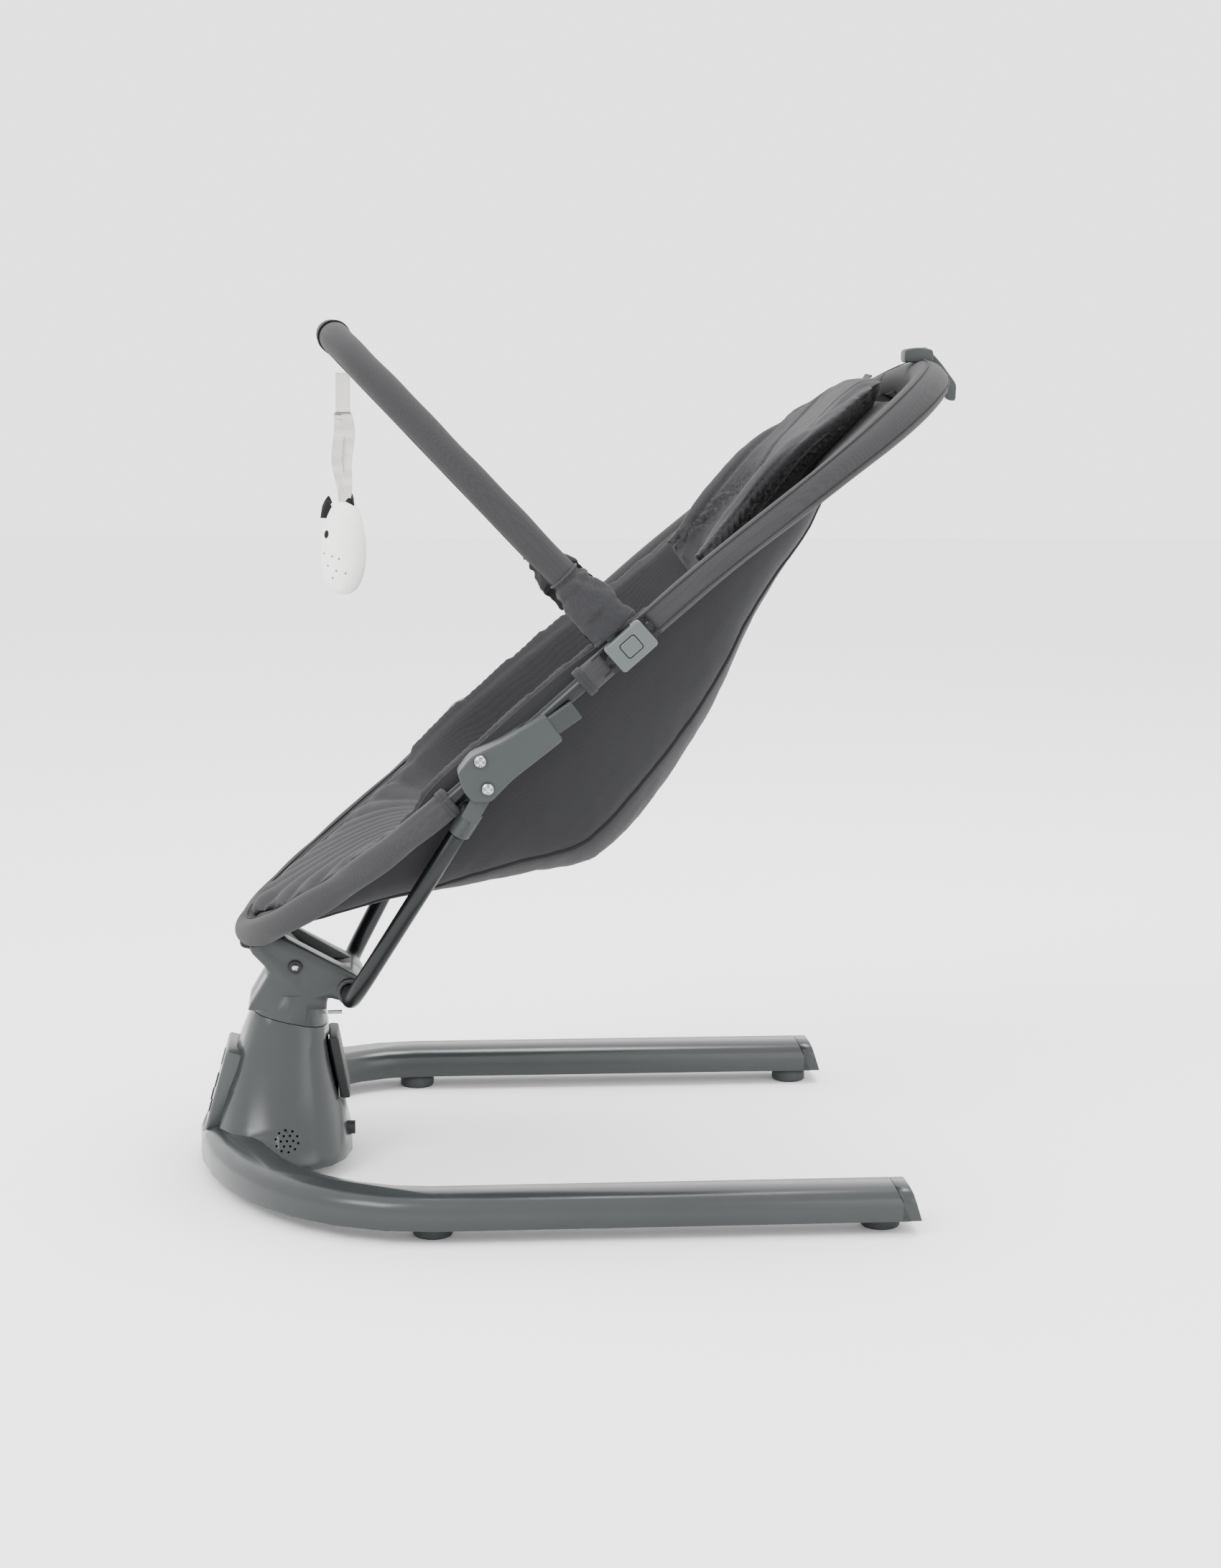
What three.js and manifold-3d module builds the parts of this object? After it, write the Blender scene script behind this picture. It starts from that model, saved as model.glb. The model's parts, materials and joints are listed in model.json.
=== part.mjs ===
// Baby swing: a motor tower on a U-shaped base turns a neck, which carries a reclining seat ring and toy bar.
// Millimetres, +Z up, +X to the side, the seat's head end towards +Y, origin on the floor under the middle.
import * as THREE from 'three';
import { mergeVertices } from 'three/addons/utils/BufferGeometryUtils.js';
import Module from 'manifold-3d';

const wasm = await Module();
wasm.setup();

// ---------- driving dimensions ----------
const GAP = 0.3; // air between neighbouring pieces
const WALL = 3; // moulded wall thickness
const RAIL = { bottom: 12, top: 38.5, half: 24, centreX: 237, bendStartY: -132, bendDepth: 170, endY: 267 };
const CAP = { seamTopY: 238, seamSlope: 0.45, endTopY: 250, endSlope: 0.64 };
const FOOT = { radius: 16, height: 11.7, x: 230, frontY: -131.5, rearY: 230.7 };
const SEAM = { frontY: -281, frontZ: 136.5, rearY: -216, rearZ: 121.5, gap: 0.6 };
const SWING = { y: -248.5, z: 129, axis: new THREE.Vector3(0, 0.2249, 0.9744) };
const RECLINE = { y: -242.6, z: 177.5 }; // seat hinge, an axis along X
const TUBE_PIVOT = { y: -196, z: 156 }; // leg tube turns in the neck about this axis along X
const BRACKET_PIVOT = { y: -86, z: 352 }; // open pivot between leg tube and hinge bracket
const RING = { halfWidth: 160, tube: 7, sleeve: 12, footRound: 215, headRound: 195, headPower: 2.3 };
const CLIP = { y: 27, z: 467.5 }; // toy bar pivot, an axis along X
const BAR = { reach: 339, halfWidth: 166, core: 6, cover: 13, power: 2.4, tiltY: -0.695, tiltZ: 0.719 };
const LEG = { radius: 7.5, bottomHalf: 70, bendX: 88, armX: 100, armReach: 38, topX: 171.5 };
const TOY = { x: 40, barReach: 326, drop: 20, ribbon: 108, radiusY: 20.5, radiusZ: 39, radiusX: 17 };
const SIDES = [['left', 1], ['right', -1]];

// ---------- small geometry helpers ----------
const v2 = (x, y) => new THREE.Vector2(x, y);
const v3 = (x, y, z) => new THREE.Vector3(x, y, z);
const steps = (count) => Array.from({ length: count + 1 }, (_, i) => i / count);
const circle = (radius, sides, turn = 0) => Array.from({ length: sides }, (_, i) => {
  const angle = turn + (2 * Math.PI * i) / sides;
  return v2(radius * Math.cos(angle), radius * Math.sin(angle));
});
const signedPower = (value, power) => Math.sign(value) * Math.abs(value) ** power;

// Closed mesh from points and triangles, turned so that its faces point out.
function closedMesh(points, faces) {
  const volume = faces.reduce((sum, [a, b, c]) => sum + points[a].dot(points[b].clone().cross(points[c])), 0);
  const geometry = new THREE.BufferGeometry().setFromPoints(points);
  geometry.setIndex(faces.flatMap(([a, b, c]) => (volume < 0 ? [a, c, b] : [a, b, c])));
  return geometry;
}

// Triangles over one flat loop, in the loop's own direction.
function capFaces(loop) {
  const normal = v3(0, 0, 0);
  loop.forEach((point, i) => normal.add(point.clone().cross(loop[(i + 1) % loop.length])));
  normal.normalize();
  const across = loop[1].clone().sub(loop[0]);
  across.addScaledVector(normal, -across.dot(normal)).normalize();
  const up = normal.clone().cross(across);
  const flat = loop.map((point) => v2(point.dot(across), point.dot(up)));
  const faces = THREE.ShapeUtils.triangulateShape(flat, []);
  const turn = ([a, b, c]) => flat[b].clone().sub(flat[a]).cross(flat[c].clone().sub(flat[a]));
  const area = faces.reduce((sum, face) => sum + turn(face), 0);
  return area < 0 ? faces.map(([a, b, c]) => [a, c, b]) : faces;
}

// Skin through loops that have the same number of points; a closed loft joins its last loop to its first.
function loft(loops, closed = false) {
  const count = loops[0].length;
  const faces = [];
  const spans = closed ? loops.length : loops.length - 1;
  for (let i = 0; i < spans; i += 1) {
    const row = i * count;
    const next = ((i + 1) % loops.length) * count;
    for (let j = 0; j < count; j += 1) {
      const k = (j + 1) % count;
      faces.push([row + j, row + k, next + k], [row + j, next + k, next + j]);
    }
  }
  if (!closed) {
    const last = (loops.length - 1) * count;
    faces.push(...capFaces(loops[0]).map(([a, b, c]) => [a, c, b]));
    faces.push(...capFaces(loops[loops.length - 1]).map((face) => face.map((i) => i + last)));
  }
  return closedMesh(loops.flat(), faces);
}

// Section carried along points; its x goes sideways and its y goes towards the given up direction.
function sweep(points, up, section, closed = false) {
  const last = points.length - 1;
  const loops = points.map((point, i) => {
    const before = points[closed ? (i + last) % points.length : Math.max(i - 1, 0)];
    const after = points[closed ? (i + 1) % points.length : Math.min(i + 1, last)];
    const along = after.clone().sub(before).normalize();
    const rise = up.clone().addScaledVector(along, -up.dot(along)).normalize();
    const side = along.clone().cross(rise);
    return section.map((p) => point.clone().addScaledVector(side, p.x).addScaledVector(rise, p.y));
  });
  return loft(loops, closed);
}

// The three.js shapes carry normals and repeat their vertices; the meshes made here are already closed.
function toSolid(geometry) {
  const bare = geometry.clone();
  bare.deleteAttribute('normal');
  bare.deleteAttribute('uv');
  const merged = geometry.attributes.normal ? mergeVertices(bare, 1e-4) : bare;
  return new wasm.Manifold(new wasm.Mesh({
    numProp: 3,
    vertProperties: new Float32Array(merged.attributes.position.array),
    triVerts: new Uint32Array(merged.index.array),
  }));
}

// Vertices that the library keeps twice along a joined edge are named once in the index.
function toGeometry(solid) {
  const mesh = solid.getMesh();
  const same = new Map(Array.from(mesh.mergeFromVert, (from, i) => [from, mesh.mergeToVert[i]]));
  const geometry = new THREE.BufferGeometry();
  geometry.setAttribute('position', new THREE.BufferAttribute(new Float32Array(mesh.vertProperties), 3));
  geometry.setIndex(Array.from(mesh.triVerts, (vertex) => same.get(vertex) ?? vertex));
  return geometry;
}

const cut = (body, ...tools) => toGeometry(
  tools.reduce((sum, tool) => sum.subtract(toSolid(tool)), toSolid(body)),
);
const join = (body, ...others) => toGeometry(
  others.reduce((sum, other) => sum.add(toSolid(other)), toSolid(body)),
);
const overlap = (body, tool) => toGeometry(toSolid(body).intersect(toSolid(tool)));
const mirrored = (geometry, sign) => (sign > 0 ? geometry : flipX(geometry));

// The same shape on the other side of the object.
function flipX(geometry) {
  const bare = toGeometry(toSolid(geometry));
  const position = bare.attributes.position;
  const points = Array.from({ length: position.count }, (_, i) => v3().fromBufferAttribute(position, i));
  points.forEach((point) => point.setX(-point.x));
  const index = Array.from(bare.index.array);
  const faces = [];
  for (let i = 0; i < index.length; i += 3) faces.push(index.slice(i, i + 3));
  return closedMesh(points, faces);
}

const box = (x0, x1, y0, y1, z0, z1) => new THREE.BoxGeometry(x1 - x0, y1 - y0, z1 - z0)
  .translate((x0 + x1) / 2, (y0 + y1) / 2, (z0 + z1) / 2);

// Round bar between two points.
function rod(radius, from, to, sides = 20) {
  const axis = to.clone().sub(from);
  const turn = new THREE.Quaternion().setFromUnitVectors(v3(0, 1, 0), axis.clone().normalize());
  const middle = from.clone().add(to).multiplyScalar(0.5);
  return new THREE.CylinderGeometry(radius, radius, axis.length(), sides).applyQuaternion(turn)
    .translate(middle.x, middle.y, middle.z);
}

// Round bar along X through a place in the side view.
function crossRod(radius, centre, x0, x1, sides) {
  return rod(radius, v3(x0, centre.y, centre.z), v3(x1, centre.y, centre.z), sides);
}

// Outline with its corners rounded by short curves.
function roundedShape(corners, radius) {
  const shape = new THREE.Shape();
  corners.forEach((corner, i) => {
    const before = corners[(i + corners.length - 1) % corners.length];
    const after = corners[(i + 1) % corners.length];
    const near = (other) => {
      const reach = Math.min(radius, corner.distanceTo(other) * 0.45);
      return corner.clone().add(other.clone().sub(corner).setLength(reach));
    };
    const start = near(before);
    const end = near(after);
    if (i === 0) shape.moveTo(start.x, start.y);
    else shape.lineTo(start.x, start.y);
    shape.quadraticCurveTo(corner.x, corner.y, end.x, end.y);
  });
  shape.closePath();
  return shape;
}

// Side outline in Y and Z, made solid between two places along X with bevelled edges.
function sidePlate(corners, x0, x1, radius = 4, bevel = 1) {
  const yzToSolid = new THREE.Matrix4().makeBasis(v3(0, 1, 0), v3(0, 0, 1), v3(1, 0, 0));
  return new THREE.ExtrudeGeometry(roundedShape(corners, radius), {
    depth: x1 - x0 - 2 * bevel,
    curveSegments: 2,
    bevelEnabled: bevel > 0,
    bevelThickness: bevel,
    bevelSize: bevel,
    bevelOffset: -bevel,
    bevelSegments: 1,
  }).translate(0, 0, bevel).applyMatrix4(yzToSolid).translate(x0, 0, 0);
}

// Outline in X and a slanted up direction, made solid along the slanted face's outward normal.
function facePlate(corners, depth0, depth1, radius, bevel = 0.8) {
  return new THREE.ExtrudeGeometry(roundedShape(corners, radius), {
    depth: depth1 - depth0 - 2 * bevel,
    curveSegments: 2,
    bevelThickness: bevel,
    bevelSize: bevel,
    bevelOffset: -bevel,
    bevelSegments: 1,
  }).translate(0, 0, depth0 + bevel).applyMatrix4(PANEL_PLACE);
}

// Half-space below or above a slanted line in the side view, as a long wedge block.
function sideBlock(corners, reach = 320) {
  return sidePlate(corners, -reach, reach, 0.01, 0);
}

const rectangle = (x0, x1, y0, y1) => [v2(x0, y0), v2(x1, y0), v2(x1, y1), v2(x0, y1)];

// ---------- finishes ----------
const finish = (color, roughness, metalness = 0) => ({ color, roughness, metalness });
const BASE_GREY = finish(0x5d6466, 0.38);
const BRACKET_GREY = finish(0x66706f, 0.5);
const CLIP_GREY = finish(0x8f999b, 0.35);
const PANEL_GREY = finish(0x8c9292, 0.4);
const DARK_PLASTIC = finish(0x2a2c2e, 0.6);
const TUBE_GREY = finish(0x55585a, 0.3, 0.6);
const STEEL = finish(0xb8bbbd, 0.3, 0.9);
const RUBBER = finish(0x4b5052, 0.85);
const FABRIC = finish(0x6b6b6b, 0.95);
const DARK_FABRIC = finish(0x4a4a4d, 0.95);
const TOY_WHITE = finish(0xf2f1ec, 0.9);
const BOARD = finish(0x2e5b3c, 0.6);

const swing = new THREE.Group();

function piece(name, geometry, look) {
  const mesh = new THREE.Mesh(geometry, new THREE.MeshStandardMaterial(look));
  mesh.name = name;
  swing.add(mesh);
}

// ---------- base: U-shaped housing with its tower ----------
// Centre line of the U seen from above: two straight rails and a half-ellipse round the front.
function railLine(endY) {
  const bend = steps(16).map((t) => {
    const angle = Math.PI * t;
    return v3(-RAIL.centreX * Math.cos(angle), RAIL.bendStartY - RAIL.bendDepth * Math.sin(angle), 0);
  });
  return [v3(-RAIL.centreX, endY, 0), ...bend, v3(RAIL.centreX, endY, 0)];
}

function railBar(inset, bottom, endY = RAIL.endY + 20) {
  const half = RAIL.half - inset;
  const top = RAIL.top - inset;
  const section = [v2(-half, bottom), v2(-half, top - 10), v2(-half + 3, top - 4), v2(-half + 12, top),
    v2(half - 12, top), v2(half - 3, top - 4), v2(half, top - 10), v2(half, bottom)];
  return sweep(railLine(endY), v3(0, 0, 1), section);
}

// Tower outline at a height: a rounded rectangle that narrows upward.
// Each station is a height, the front and rear places in Y, and the half width.
const TOWER_STATIONS = [
  [0, -326, -193, 96],
  [22, -325, -194.5, 89],
  [29, -316, -196, 84],
  [45, -312, -200, 74],
  [70, -305, -206, 62],
  [95, -297.5, -211, 54],
  [125, -285.5, -215.5, 47],
  [155, -273, -219, 41],
];

function towerLoop([z, front, rear, half], inset) {
  const power = 2 / 2.7;
  const middle = (front + rear) / 2;
  const depth = (rear - front) / 2 - inset;
  return circle(1, 18).map((p) => v3(
    (half - inset) * signedPower(p.x, power),
    middle + depth * signedPower(p.y, power),
    z,
  ));
}

const towerBody = (inset) => loft(TOWER_STATIONS.map((station) => towerLoop(station, inset)));

// Everything above a line parallel to the seam, shifted along the swing axis.
function aboveSeam(shift) {
  const lift = SWING.axis.clone().multiplyScalar(shift);
  const slope = (SEAM.rearZ - SEAM.frontZ) / (SEAM.rearY - SEAM.frontY);
  const lineZ = (y) => SEAM.frontZ + slope * (y - SEAM.frontY) + lift.z - slope * lift.y;
  return sideBlock([v2(-400, lineZ(-400)), v2(-100, lineZ(-100)), v2(-100, 400), v2(-400, 400)]);
}

// Everything behind a slanted line across the rail ends.
function behindRail(topY, slope, shift = 0) {
  const lineY = (z) => topY + shift + slope * (RAIL.top - z);
  return sideBlock([v2(lineY(-20), -20), v2(600, -20), v2(600, 80), v2(lineY(80), 80)]);
}

const onSwingAxis = (distance) => v3(0, SWING.y, SWING.z).addScaledVector(SWING.axis, distance);

// The control panel lies on the slanted front face; its own x is the swing's +X and its y runs up the face.
const PANEL = { bottomY: -317.5, bottomZ: 29, topY: -296.5, topZ: 104, halfWidth: 37 };
const panelUp = v3(0, PANEL.topY - PANEL.bottomY, PANEL.topZ - PANEL.bottomZ).normalize();
const panelOut = v3(1, 0, 0).cross(panelUp);
const PANEL_PLACE = new THREE.Matrix4().makeBasis(v3(1, 0, 0), panelUp, panelOut)
  .setPosition(0, PANEL.bottomY, PANEL.bottomZ);
const PANEL_HEIGHT = Math.hypot(PANEL.topY - PANEL.bottomY, PANEL.topZ - PANEL.bottomZ);
const panelOutline = (grow) => rectangle(
  -PANEL.halfWidth - grow,
  PANEL.halfWidth + grow,
  -grow,
  PANEL_HEIGHT + grow,
);
const panelPoint = (x, up, out) => v3(x, up, out).applyMatrix4(PANEL_PLACE);
// Each key's name, its place across and up the panel, and its radius.
const KEYS = [['power', 0, 62, 8], ['speed', 0, 40, 7], ['timer', -19, 22, 6], ['music', 19, 22, 6]];
const KEY_GAP = 0.5;

const REAR_COVER = [v2(-214.8, 112), v2(-204.3, 58), v2(-196, 58), v2(-206.5, 112)];
const SPEAKER = { y: -250, z: 34, x: 76, outward: v3(0.93, 0, 0.37).normalize() };
const INLET = { x: 20, z: 30, radius: 6 };

function speakerHoles() {
  const across = v3(0, 1, 0);
  const up = SPEAKER.outward.clone().cross(across).negate();
  const rings = [[0, 1], [5.2, 6], [9.6, 10]];
  return rings.flatMap(([radius, count]) => circle(radius, count, radius).map((p) => {
    const middle = v3(SPEAKER.x, SPEAKER.y, SPEAKER.z).addScaledVector(across, p.x).addScaledVector(up, p.y);
    const inner = middle.clone().addScaledVector(SPEAKER.outward, -14);
    return rod(1.2, inner, middle.addScaledVector(SPEAKER.outward, 26), 5);
  }));
}

function baseHousing() {
  const outer = cut(join(railBar(0, RAIL.bottom), towerBody(0)), box(-400, 400, -400, 400, -10, RAIL.bottom),
    aboveSeam(0), behindRail(CAP.seamTopY, CAP.seamSlope));
  const towerHollow = cut(towerBody(WALL), aboveSeam(-4));
  return cut(outer, railBar(WALL, RAIL.bottom - 6), towerHollow,
    rod(13.2, onSwingAxis(-30), onSwingAxis(20), 16),
    facePlate(panelOutline(GAP), -14, 12, 10, 0.01),
    sidePlate(REAR_COVER.map((p, i) => v2(p.x + (i < 2 ? -8 : 8), p.y)), -28.3, 28.3, 0.01, 0),
    rod(INLET.radius + GAP, v3(INLET.x, -225, INLET.z), v3(INLET.x, -180, INLET.z)),
    ...speakerHoles());
}

// Flat floor inside the housing's skirt, set in by the wall and a gap.
function baseBottomCover() {
  const inside = join(railBar(WALL + GAP, RAIL.bottom), towerBody(WALL + GAP));
  const slab = box(-300, 300, -400, CAP.seamTopY, RAIL.bottom + 0.2, RAIL.bottom + 2.7);
  return cut(overlap(inside, slab), box(-300, 300, CAP.seamTopY - 2, 400, 0, 60),
    ...[0, 1, 2, 3, 4].map((i) => box(-20, 20, -290 + 14 * i, -286 + 14 * i, 0, 20)));
}

function railEndCap(sign) {
  const half = sign > 0 ? box(0, 400, -500, 500, -10, 80) : box(-400, 0, -500, 500, -10, 80);
  const oneRail = overlap(railBar(0, RAIL.bottom), half);
  const tail = overlap(oneRail, behindRail(CAP.seamTopY, CAP.seamSlope, GAP));
  return cut(tail, behindRail(CAP.endTopY, CAP.endSlope));
}

function footPad(x, y) {
  const profile = [v2(0, 0), v2(FOOT.radius - 1.5, 0), v2(FOOT.radius, 1.5), v2(FOOT.radius, 8),
    v2(FOOT.radius - 2, FOOT.height), v2(0, FOOT.height)];
  return new THREE.LatheGeometry(profile, 20).rotateX(Math.PI / 2).translate(x, y, 0);
}

// ---------- drive inside the tower ----------
function toothedWheel(teeth, pitch, depth, thickness, bore, turn = 0) {
  const outline = Array.from({ length: teeth }, (_, i) => [-0.3, -0.11, 0.11, 0.3].map((offset, j) => {
    const angle = turn + ((i + offset) * 2 * Math.PI) / teeth;
    const radius = j === 0 || j === 3 ? pitch - depth : pitch + depth;
    return v2(radius * Math.cos(angle), radius * Math.sin(angle));
  })).flat();
  const shape = new THREE.Shape(outline);
  shape.holes.push(new THREE.Path(circle(bore, 12)));
  return new THREE.ExtrudeGeometry(shape, { depth: thickness, bevelEnabled: false });
}

const driveTurn = new THREE.Quaternion().setFromUnitVectors(v3(0, 0, 1), SWING.axis);
const GEAR = { along: -46, teeth: 20, pitch: 25, pinionTeeth: 8, pinionPitch: 10, depth: 1.8, thickness: 8 };
const MOTOR = { radius: 13, length: 34, drop: 22 };
const SHAFT = { radius: 8, hole: 8.8, low: -60, high: 26 };
const pinionX = GEAR.pitch + GEAR.pinionPitch + 0.5;

function onAxis(geometry, along, x = 0) {
  const place = onSwingAxis(along);
  return geometry.applyQuaternion(driveTurn).translate(x + place.x, place.y, place.z);
}

function collar(inner, outer, length) {
  const profile = [v2(inner, 0), v2(outer, 0), v2(outer, length), v2(inner, length), v2(inner, 0)];
  return new THREE.LatheGeometry(profile, 16).rotateX(Math.PI / 2);
}

piece('base_housing', baseHousing(), BASE_GREY);
piece('base_bottom_cover', baseBottomCover(), DARK_PLASTIC);
for (const [name, sign] of SIDES) {
  piece(`rail_end_cap_${name}`, railEndCap(sign), BASE_GREY);
  piece(`foot_front_${name}`, footPad(sign * FOOT.x, FOOT.frontY), RUBBER);
  piece(`foot_rear_${name}`, footPad(sign * FOOT.x, FOOT.rearY), RUBBER);
}
const keyHoles = KEYS.map(([, x, up, radius]) => rod(
  radius + KEY_GAP,
  panelPoint(x, up, -20),
  panelPoint(x, up, 20),
  12,
));
piece('control_panel', cut(facePlate(panelOutline(0), -10, 5, 10, 1.6), ...keyHoles), PANEL_GREY);
for (const [name, x, up, radius] of KEYS) {
  piece(`key_${name}`, rod(radius, panelPoint(x, up, -6), panelPoint(x, up, 6.2), 12), DARK_PLASTIC);
}
const BOARD_SIZE = { half: 26, low: 12, high: 70, back: -13.4, front: -11.8 };
piece('circuit_board', facePlate(
  rectangle(-BOARD_SIZE.half, BOARD_SIZE.half, BOARD_SIZE.low, BOARD_SIZE.high),
  BOARD_SIZE.back,
  BOARD_SIZE.front,
  1,
  0.1,
), BOARD);
piece('speaker', rod(14, v3(SPEAKER.x, SPEAKER.y, SPEAKER.z).addScaledVector(SPEAKER.outward, -8.5),
  v3(SPEAKER.x, SPEAKER.y, SPEAKER.z).addScaledVector(SPEAKER.outward, -16), 16), DARK_PLASTIC);
piece('tower_rear_cover', sidePlate(REAR_COVER, -28, 28, 2, 0.8), DARK_PLASTIC);
piece('power_inlet', cut(rod(INLET.radius, v3(INLET.x, -216, INLET.z), v3(INLET.x, -192, INLET.z), 14),
  rod(3.4, v3(INLET.x, -208, INLET.z), v3(INLET.x, -180, INLET.z), 12)), DARK_PLASTIC);
piece('shaft_bearing', onAxis(collar(SHAFT.hole, 12.4, 7), -11), STEEL);
const motorCan = new THREE.CylinderGeometry(MOTOR.radius, MOTOR.radius, MOTOR.length, 16).rotateX(Math.PI / 2);
piece('swing_motor', onAxis(motorCan, GEAR.along - MOTOR.drop, pinionX), STEEL);
piece('motor_pinion', onAxis(toothedWheel(GEAR.pinionTeeth, GEAR.pinionPitch, GEAR.depth, GEAR.thickness, 2.5,
  Math.PI + Math.PI / GEAR.pinionTeeth), GEAR.along, pinionX), DARK_PLASTIC);

// ---------- line of the seat ring ----------
const ringPath = new THREE.Path();
ringPath.moveTo(-283, 204);
ringPath.quadraticCurveTo(-177, 284, -125, 330.6);
ringPath.lineTo(50, 487);
ringPath.quadraticCurveTo(139.4, 567, 297, 679);
const RING_LENGTH = ringPath.getLength();
const SEAT_UP = v3(0, -0.66, 0.75); // out of the seat, towards the child

// Half width inside the ring at a distance along it, kept a given inset away from the tube's centre line.
function ringWidth(s, inset = 0) {
  const { halfWidth, footRound, headRound, headPower } = RING;
  const headStart = RING_LENGTH - headRound;
  const half = halfWidth - inset;
  if (s < footRound) return half * Math.sqrt(Math.max(0, 1 - ((footRound - s) / (footRound - inset)) ** 2));
  if (s <= headStart) return half;
  return half * Math.max(0, 1 - ((s - headStart) / (headRound - inset)) ** headPower) ** (1 / headPower);
}

function ringPoint(s, x = ringWidth(s)) {
  const p = ringPath.getPointAt(Math.min(1, Math.max(0, s / RING_LENGTH)));
  return v3(x, p.x, p.y);
}

// Distances along the ring from the foot to the head, closer together where it curves.
function ringStations() {
  const foot = steps(6).map((t) => RING.footRound * (1 - Math.cos((t * Math.PI) / 2)));
  const head = steps(6).map((t) => RING_LENGTH - RING.headRound
    + RING.headRound * Math.sin((t * Math.PI) / 2) ** (2 / RING.headPower));
  const straight = RING_LENGTH - RING.headRound - RING.footRound;
  const middle = steps(3).slice(1, 3).map((t) => RING.footRound + t * straight);
  return [...foot, ...middle, ...head];
}

function ringLoop() {
  const near = ringStations().map((s) => ringPoint(s));
  const far = near.slice(1, -1).reverse().map((p) => v3(-p.x, p.y, p.z));
  return [...near, ...far];
}

// Part of the ring's centre line, through the foot or through the head, from one side to the other.
function ringArc(s, throughFoot) {
  const inside = ringStations().filter((t) => (throughFoot ? t < s - 4 : t > s + 4));
  const near = (throughFoot ? [...inside, s] : [...inside.reverse(), s]).map((t) => ringPoint(t));
  const far = near.slice(1).reverse().map((p) => v3(-p.x, p.y, p.z));
  return [...far, ...near];
}

// ---------- neck: turns on the tower, holds the seat hinge and the leg tube ----------
const NECK = { half: 40, slot: 21, pinHole: 4.5, tubeGap: 0.7 };
// Side view: cheek, front ridge, knee, top edge, rear tip over the leg tube, underside, rear wall.
const NECK_OUTLINE = [
  v2(-290, 120), v2(-284.5, 138), v2(-264, 173), v2(-283, 193), v2(-276, 202), v2(-254, 204),
  v2(-188, 168), v2(-183, 158), v2(-189, 147), v2(-206, 147), v2(-216, 151), v2(-216, 112),
];
const NECK_SLOT = [
  v2(-300, 178), v2(-262, 164), v2(-214, 160), v2(-214, 172), v2(-170, 172), v2(-170, 230), v2(-300, 230),
];

function neckBody() {
  const yoke = cut(sidePlate(NECK_OUTLINE, -NECK.half, NECK.half, 6, 2), box(-60, 60, -400, -100, 0, 140));
  const column = overlap(towerBody(0.2), box(-60, 60, -400, -100, 100, 152));
  const whole = cut(join(overlap(column, aboveSeam(SEAM.gap)), yoke), belowSeam(SEAM.gap));
  const slot = sidePlate(NECK_SLOT, -NECK.slot, NECK.slot, 2, 0);
  const hollow = rod(26, onSwingAxis(-20), onSwingAxis(18), 16);
  return cut(whole, slot, hollow, rod(SHAFT.hole, onSwingAxis(0), onSwingAxis(SHAFT.high + 2), 14),
    crossRod(NECK.pinHole, RECLINE, -60, 60, 10), crossRod(LEG.radius + NECK.tubeGap, TUBE_PIVOT, -60, 60, 12),
    sweep(ringArc(110, true), SEAT_UP, circle(RING.sleeve + 1.5, 10)));
}

// Everything below the seam, raised by a gap.
function belowSeam(shift) {
  const slope = (SEAM.rearZ - SEAM.frontZ) / (SEAM.rearY - SEAM.frontY);
  const lineZ = (y) => SEAM.frontZ + slope * (y - SEAM.frontY) + shift;
  return sideBlock([v2(-400, lineZ(-400)), v2(-400, 0), v2(-100, 0), v2(-100, lineZ(-100))]);
}

const neck = neckBody();
for (const [name, sign] of SIDES) {
  const half = sign > 0 ? box(GAP / 2, 80, -400, -100, 0, 300) : box(-80, -GAP / 2, -400, -100, 0, 300);
  const socket = collar(LEG.radius + NECK.tubeGap, 11.5, 8).rotateY(Math.PI / 2)
    .translate(NECK.half - 1, TUBE_PIVOT.y, TUBE_PIVOT.z);
  piece(`neck_shell_${name}`, join(overlap(neck, half), mirrored(socket, sign)), BASE_GREY);
}
piece('swing_shaft', rod(SHAFT.radius, onSwingAxis(SHAFT.low), onSwingAxis(SHAFT.high), 16), STEEL);
const gearWheel = toothedWheel(GEAR.teeth, GEAR.pitch, GEAR.depth, GEAR.thickness, SHAFT.hole);
piece('drive_gear', onAxis(gearWheel, GEAR.along), DARK_PLASTIC);
piece('seat_hinge_pin', join(crossRod(3.9, RECLINE, -43, 43, 10), crossRod(5.5, RECLINE, 40.6, 43, 12),
  crossRod(5.5, RECLINE, -43, -40.6, 12)), STEEL);
piece('stop_pin', rod(1.6, v3(12, -215.5, 131), v3(12, -203, 131), 12), STEEL);

function returnSpring() {
  const turns = 4;
  const coil = steps(turns * 8).map((t) => {
    const angle = t * turns * 2 * Math.PI;
    return v3(13.8 + 5.4 * t, RECLINE.y + 6.8 * Math.cos(angle), RECLINE.z + 6.8 * Math.sin(angle));
  });
  const arm = v3(19.2, RECLINE.y + 24, RECLINE.z + 6);
  return sweep([...coil, v3(19.2, RECLINE.y + 12, RECLINE.z + 3), arm], v3(1, 0, 0), circle(0.8, 5));
}
piece('recline_spring', returnSpring(), STEEL);

// ---------- seat ring and its sleeves ----------
// Padded sleeve on the tube, through the foot or the head, with a hollow that runs out at both ends.
function sleeveAround(s, throughFoot) {
  const line = ringArc(s, throughFoot);
  const extended = [line[0].clone().multiplyScalar(2).sub(line[1]), ...line.slice(1, -1),
    line[line.length - 1].clone().multiplyScalar(2).sub(line[line.length - 2])];
  const outside = sweep(line, SEAT_UP, circle(RING.sleeve, 8));
  return cut(outside, sweep(extended, SEAT_UP, circle(RING.tube + 2.2, 6)));
}

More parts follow.
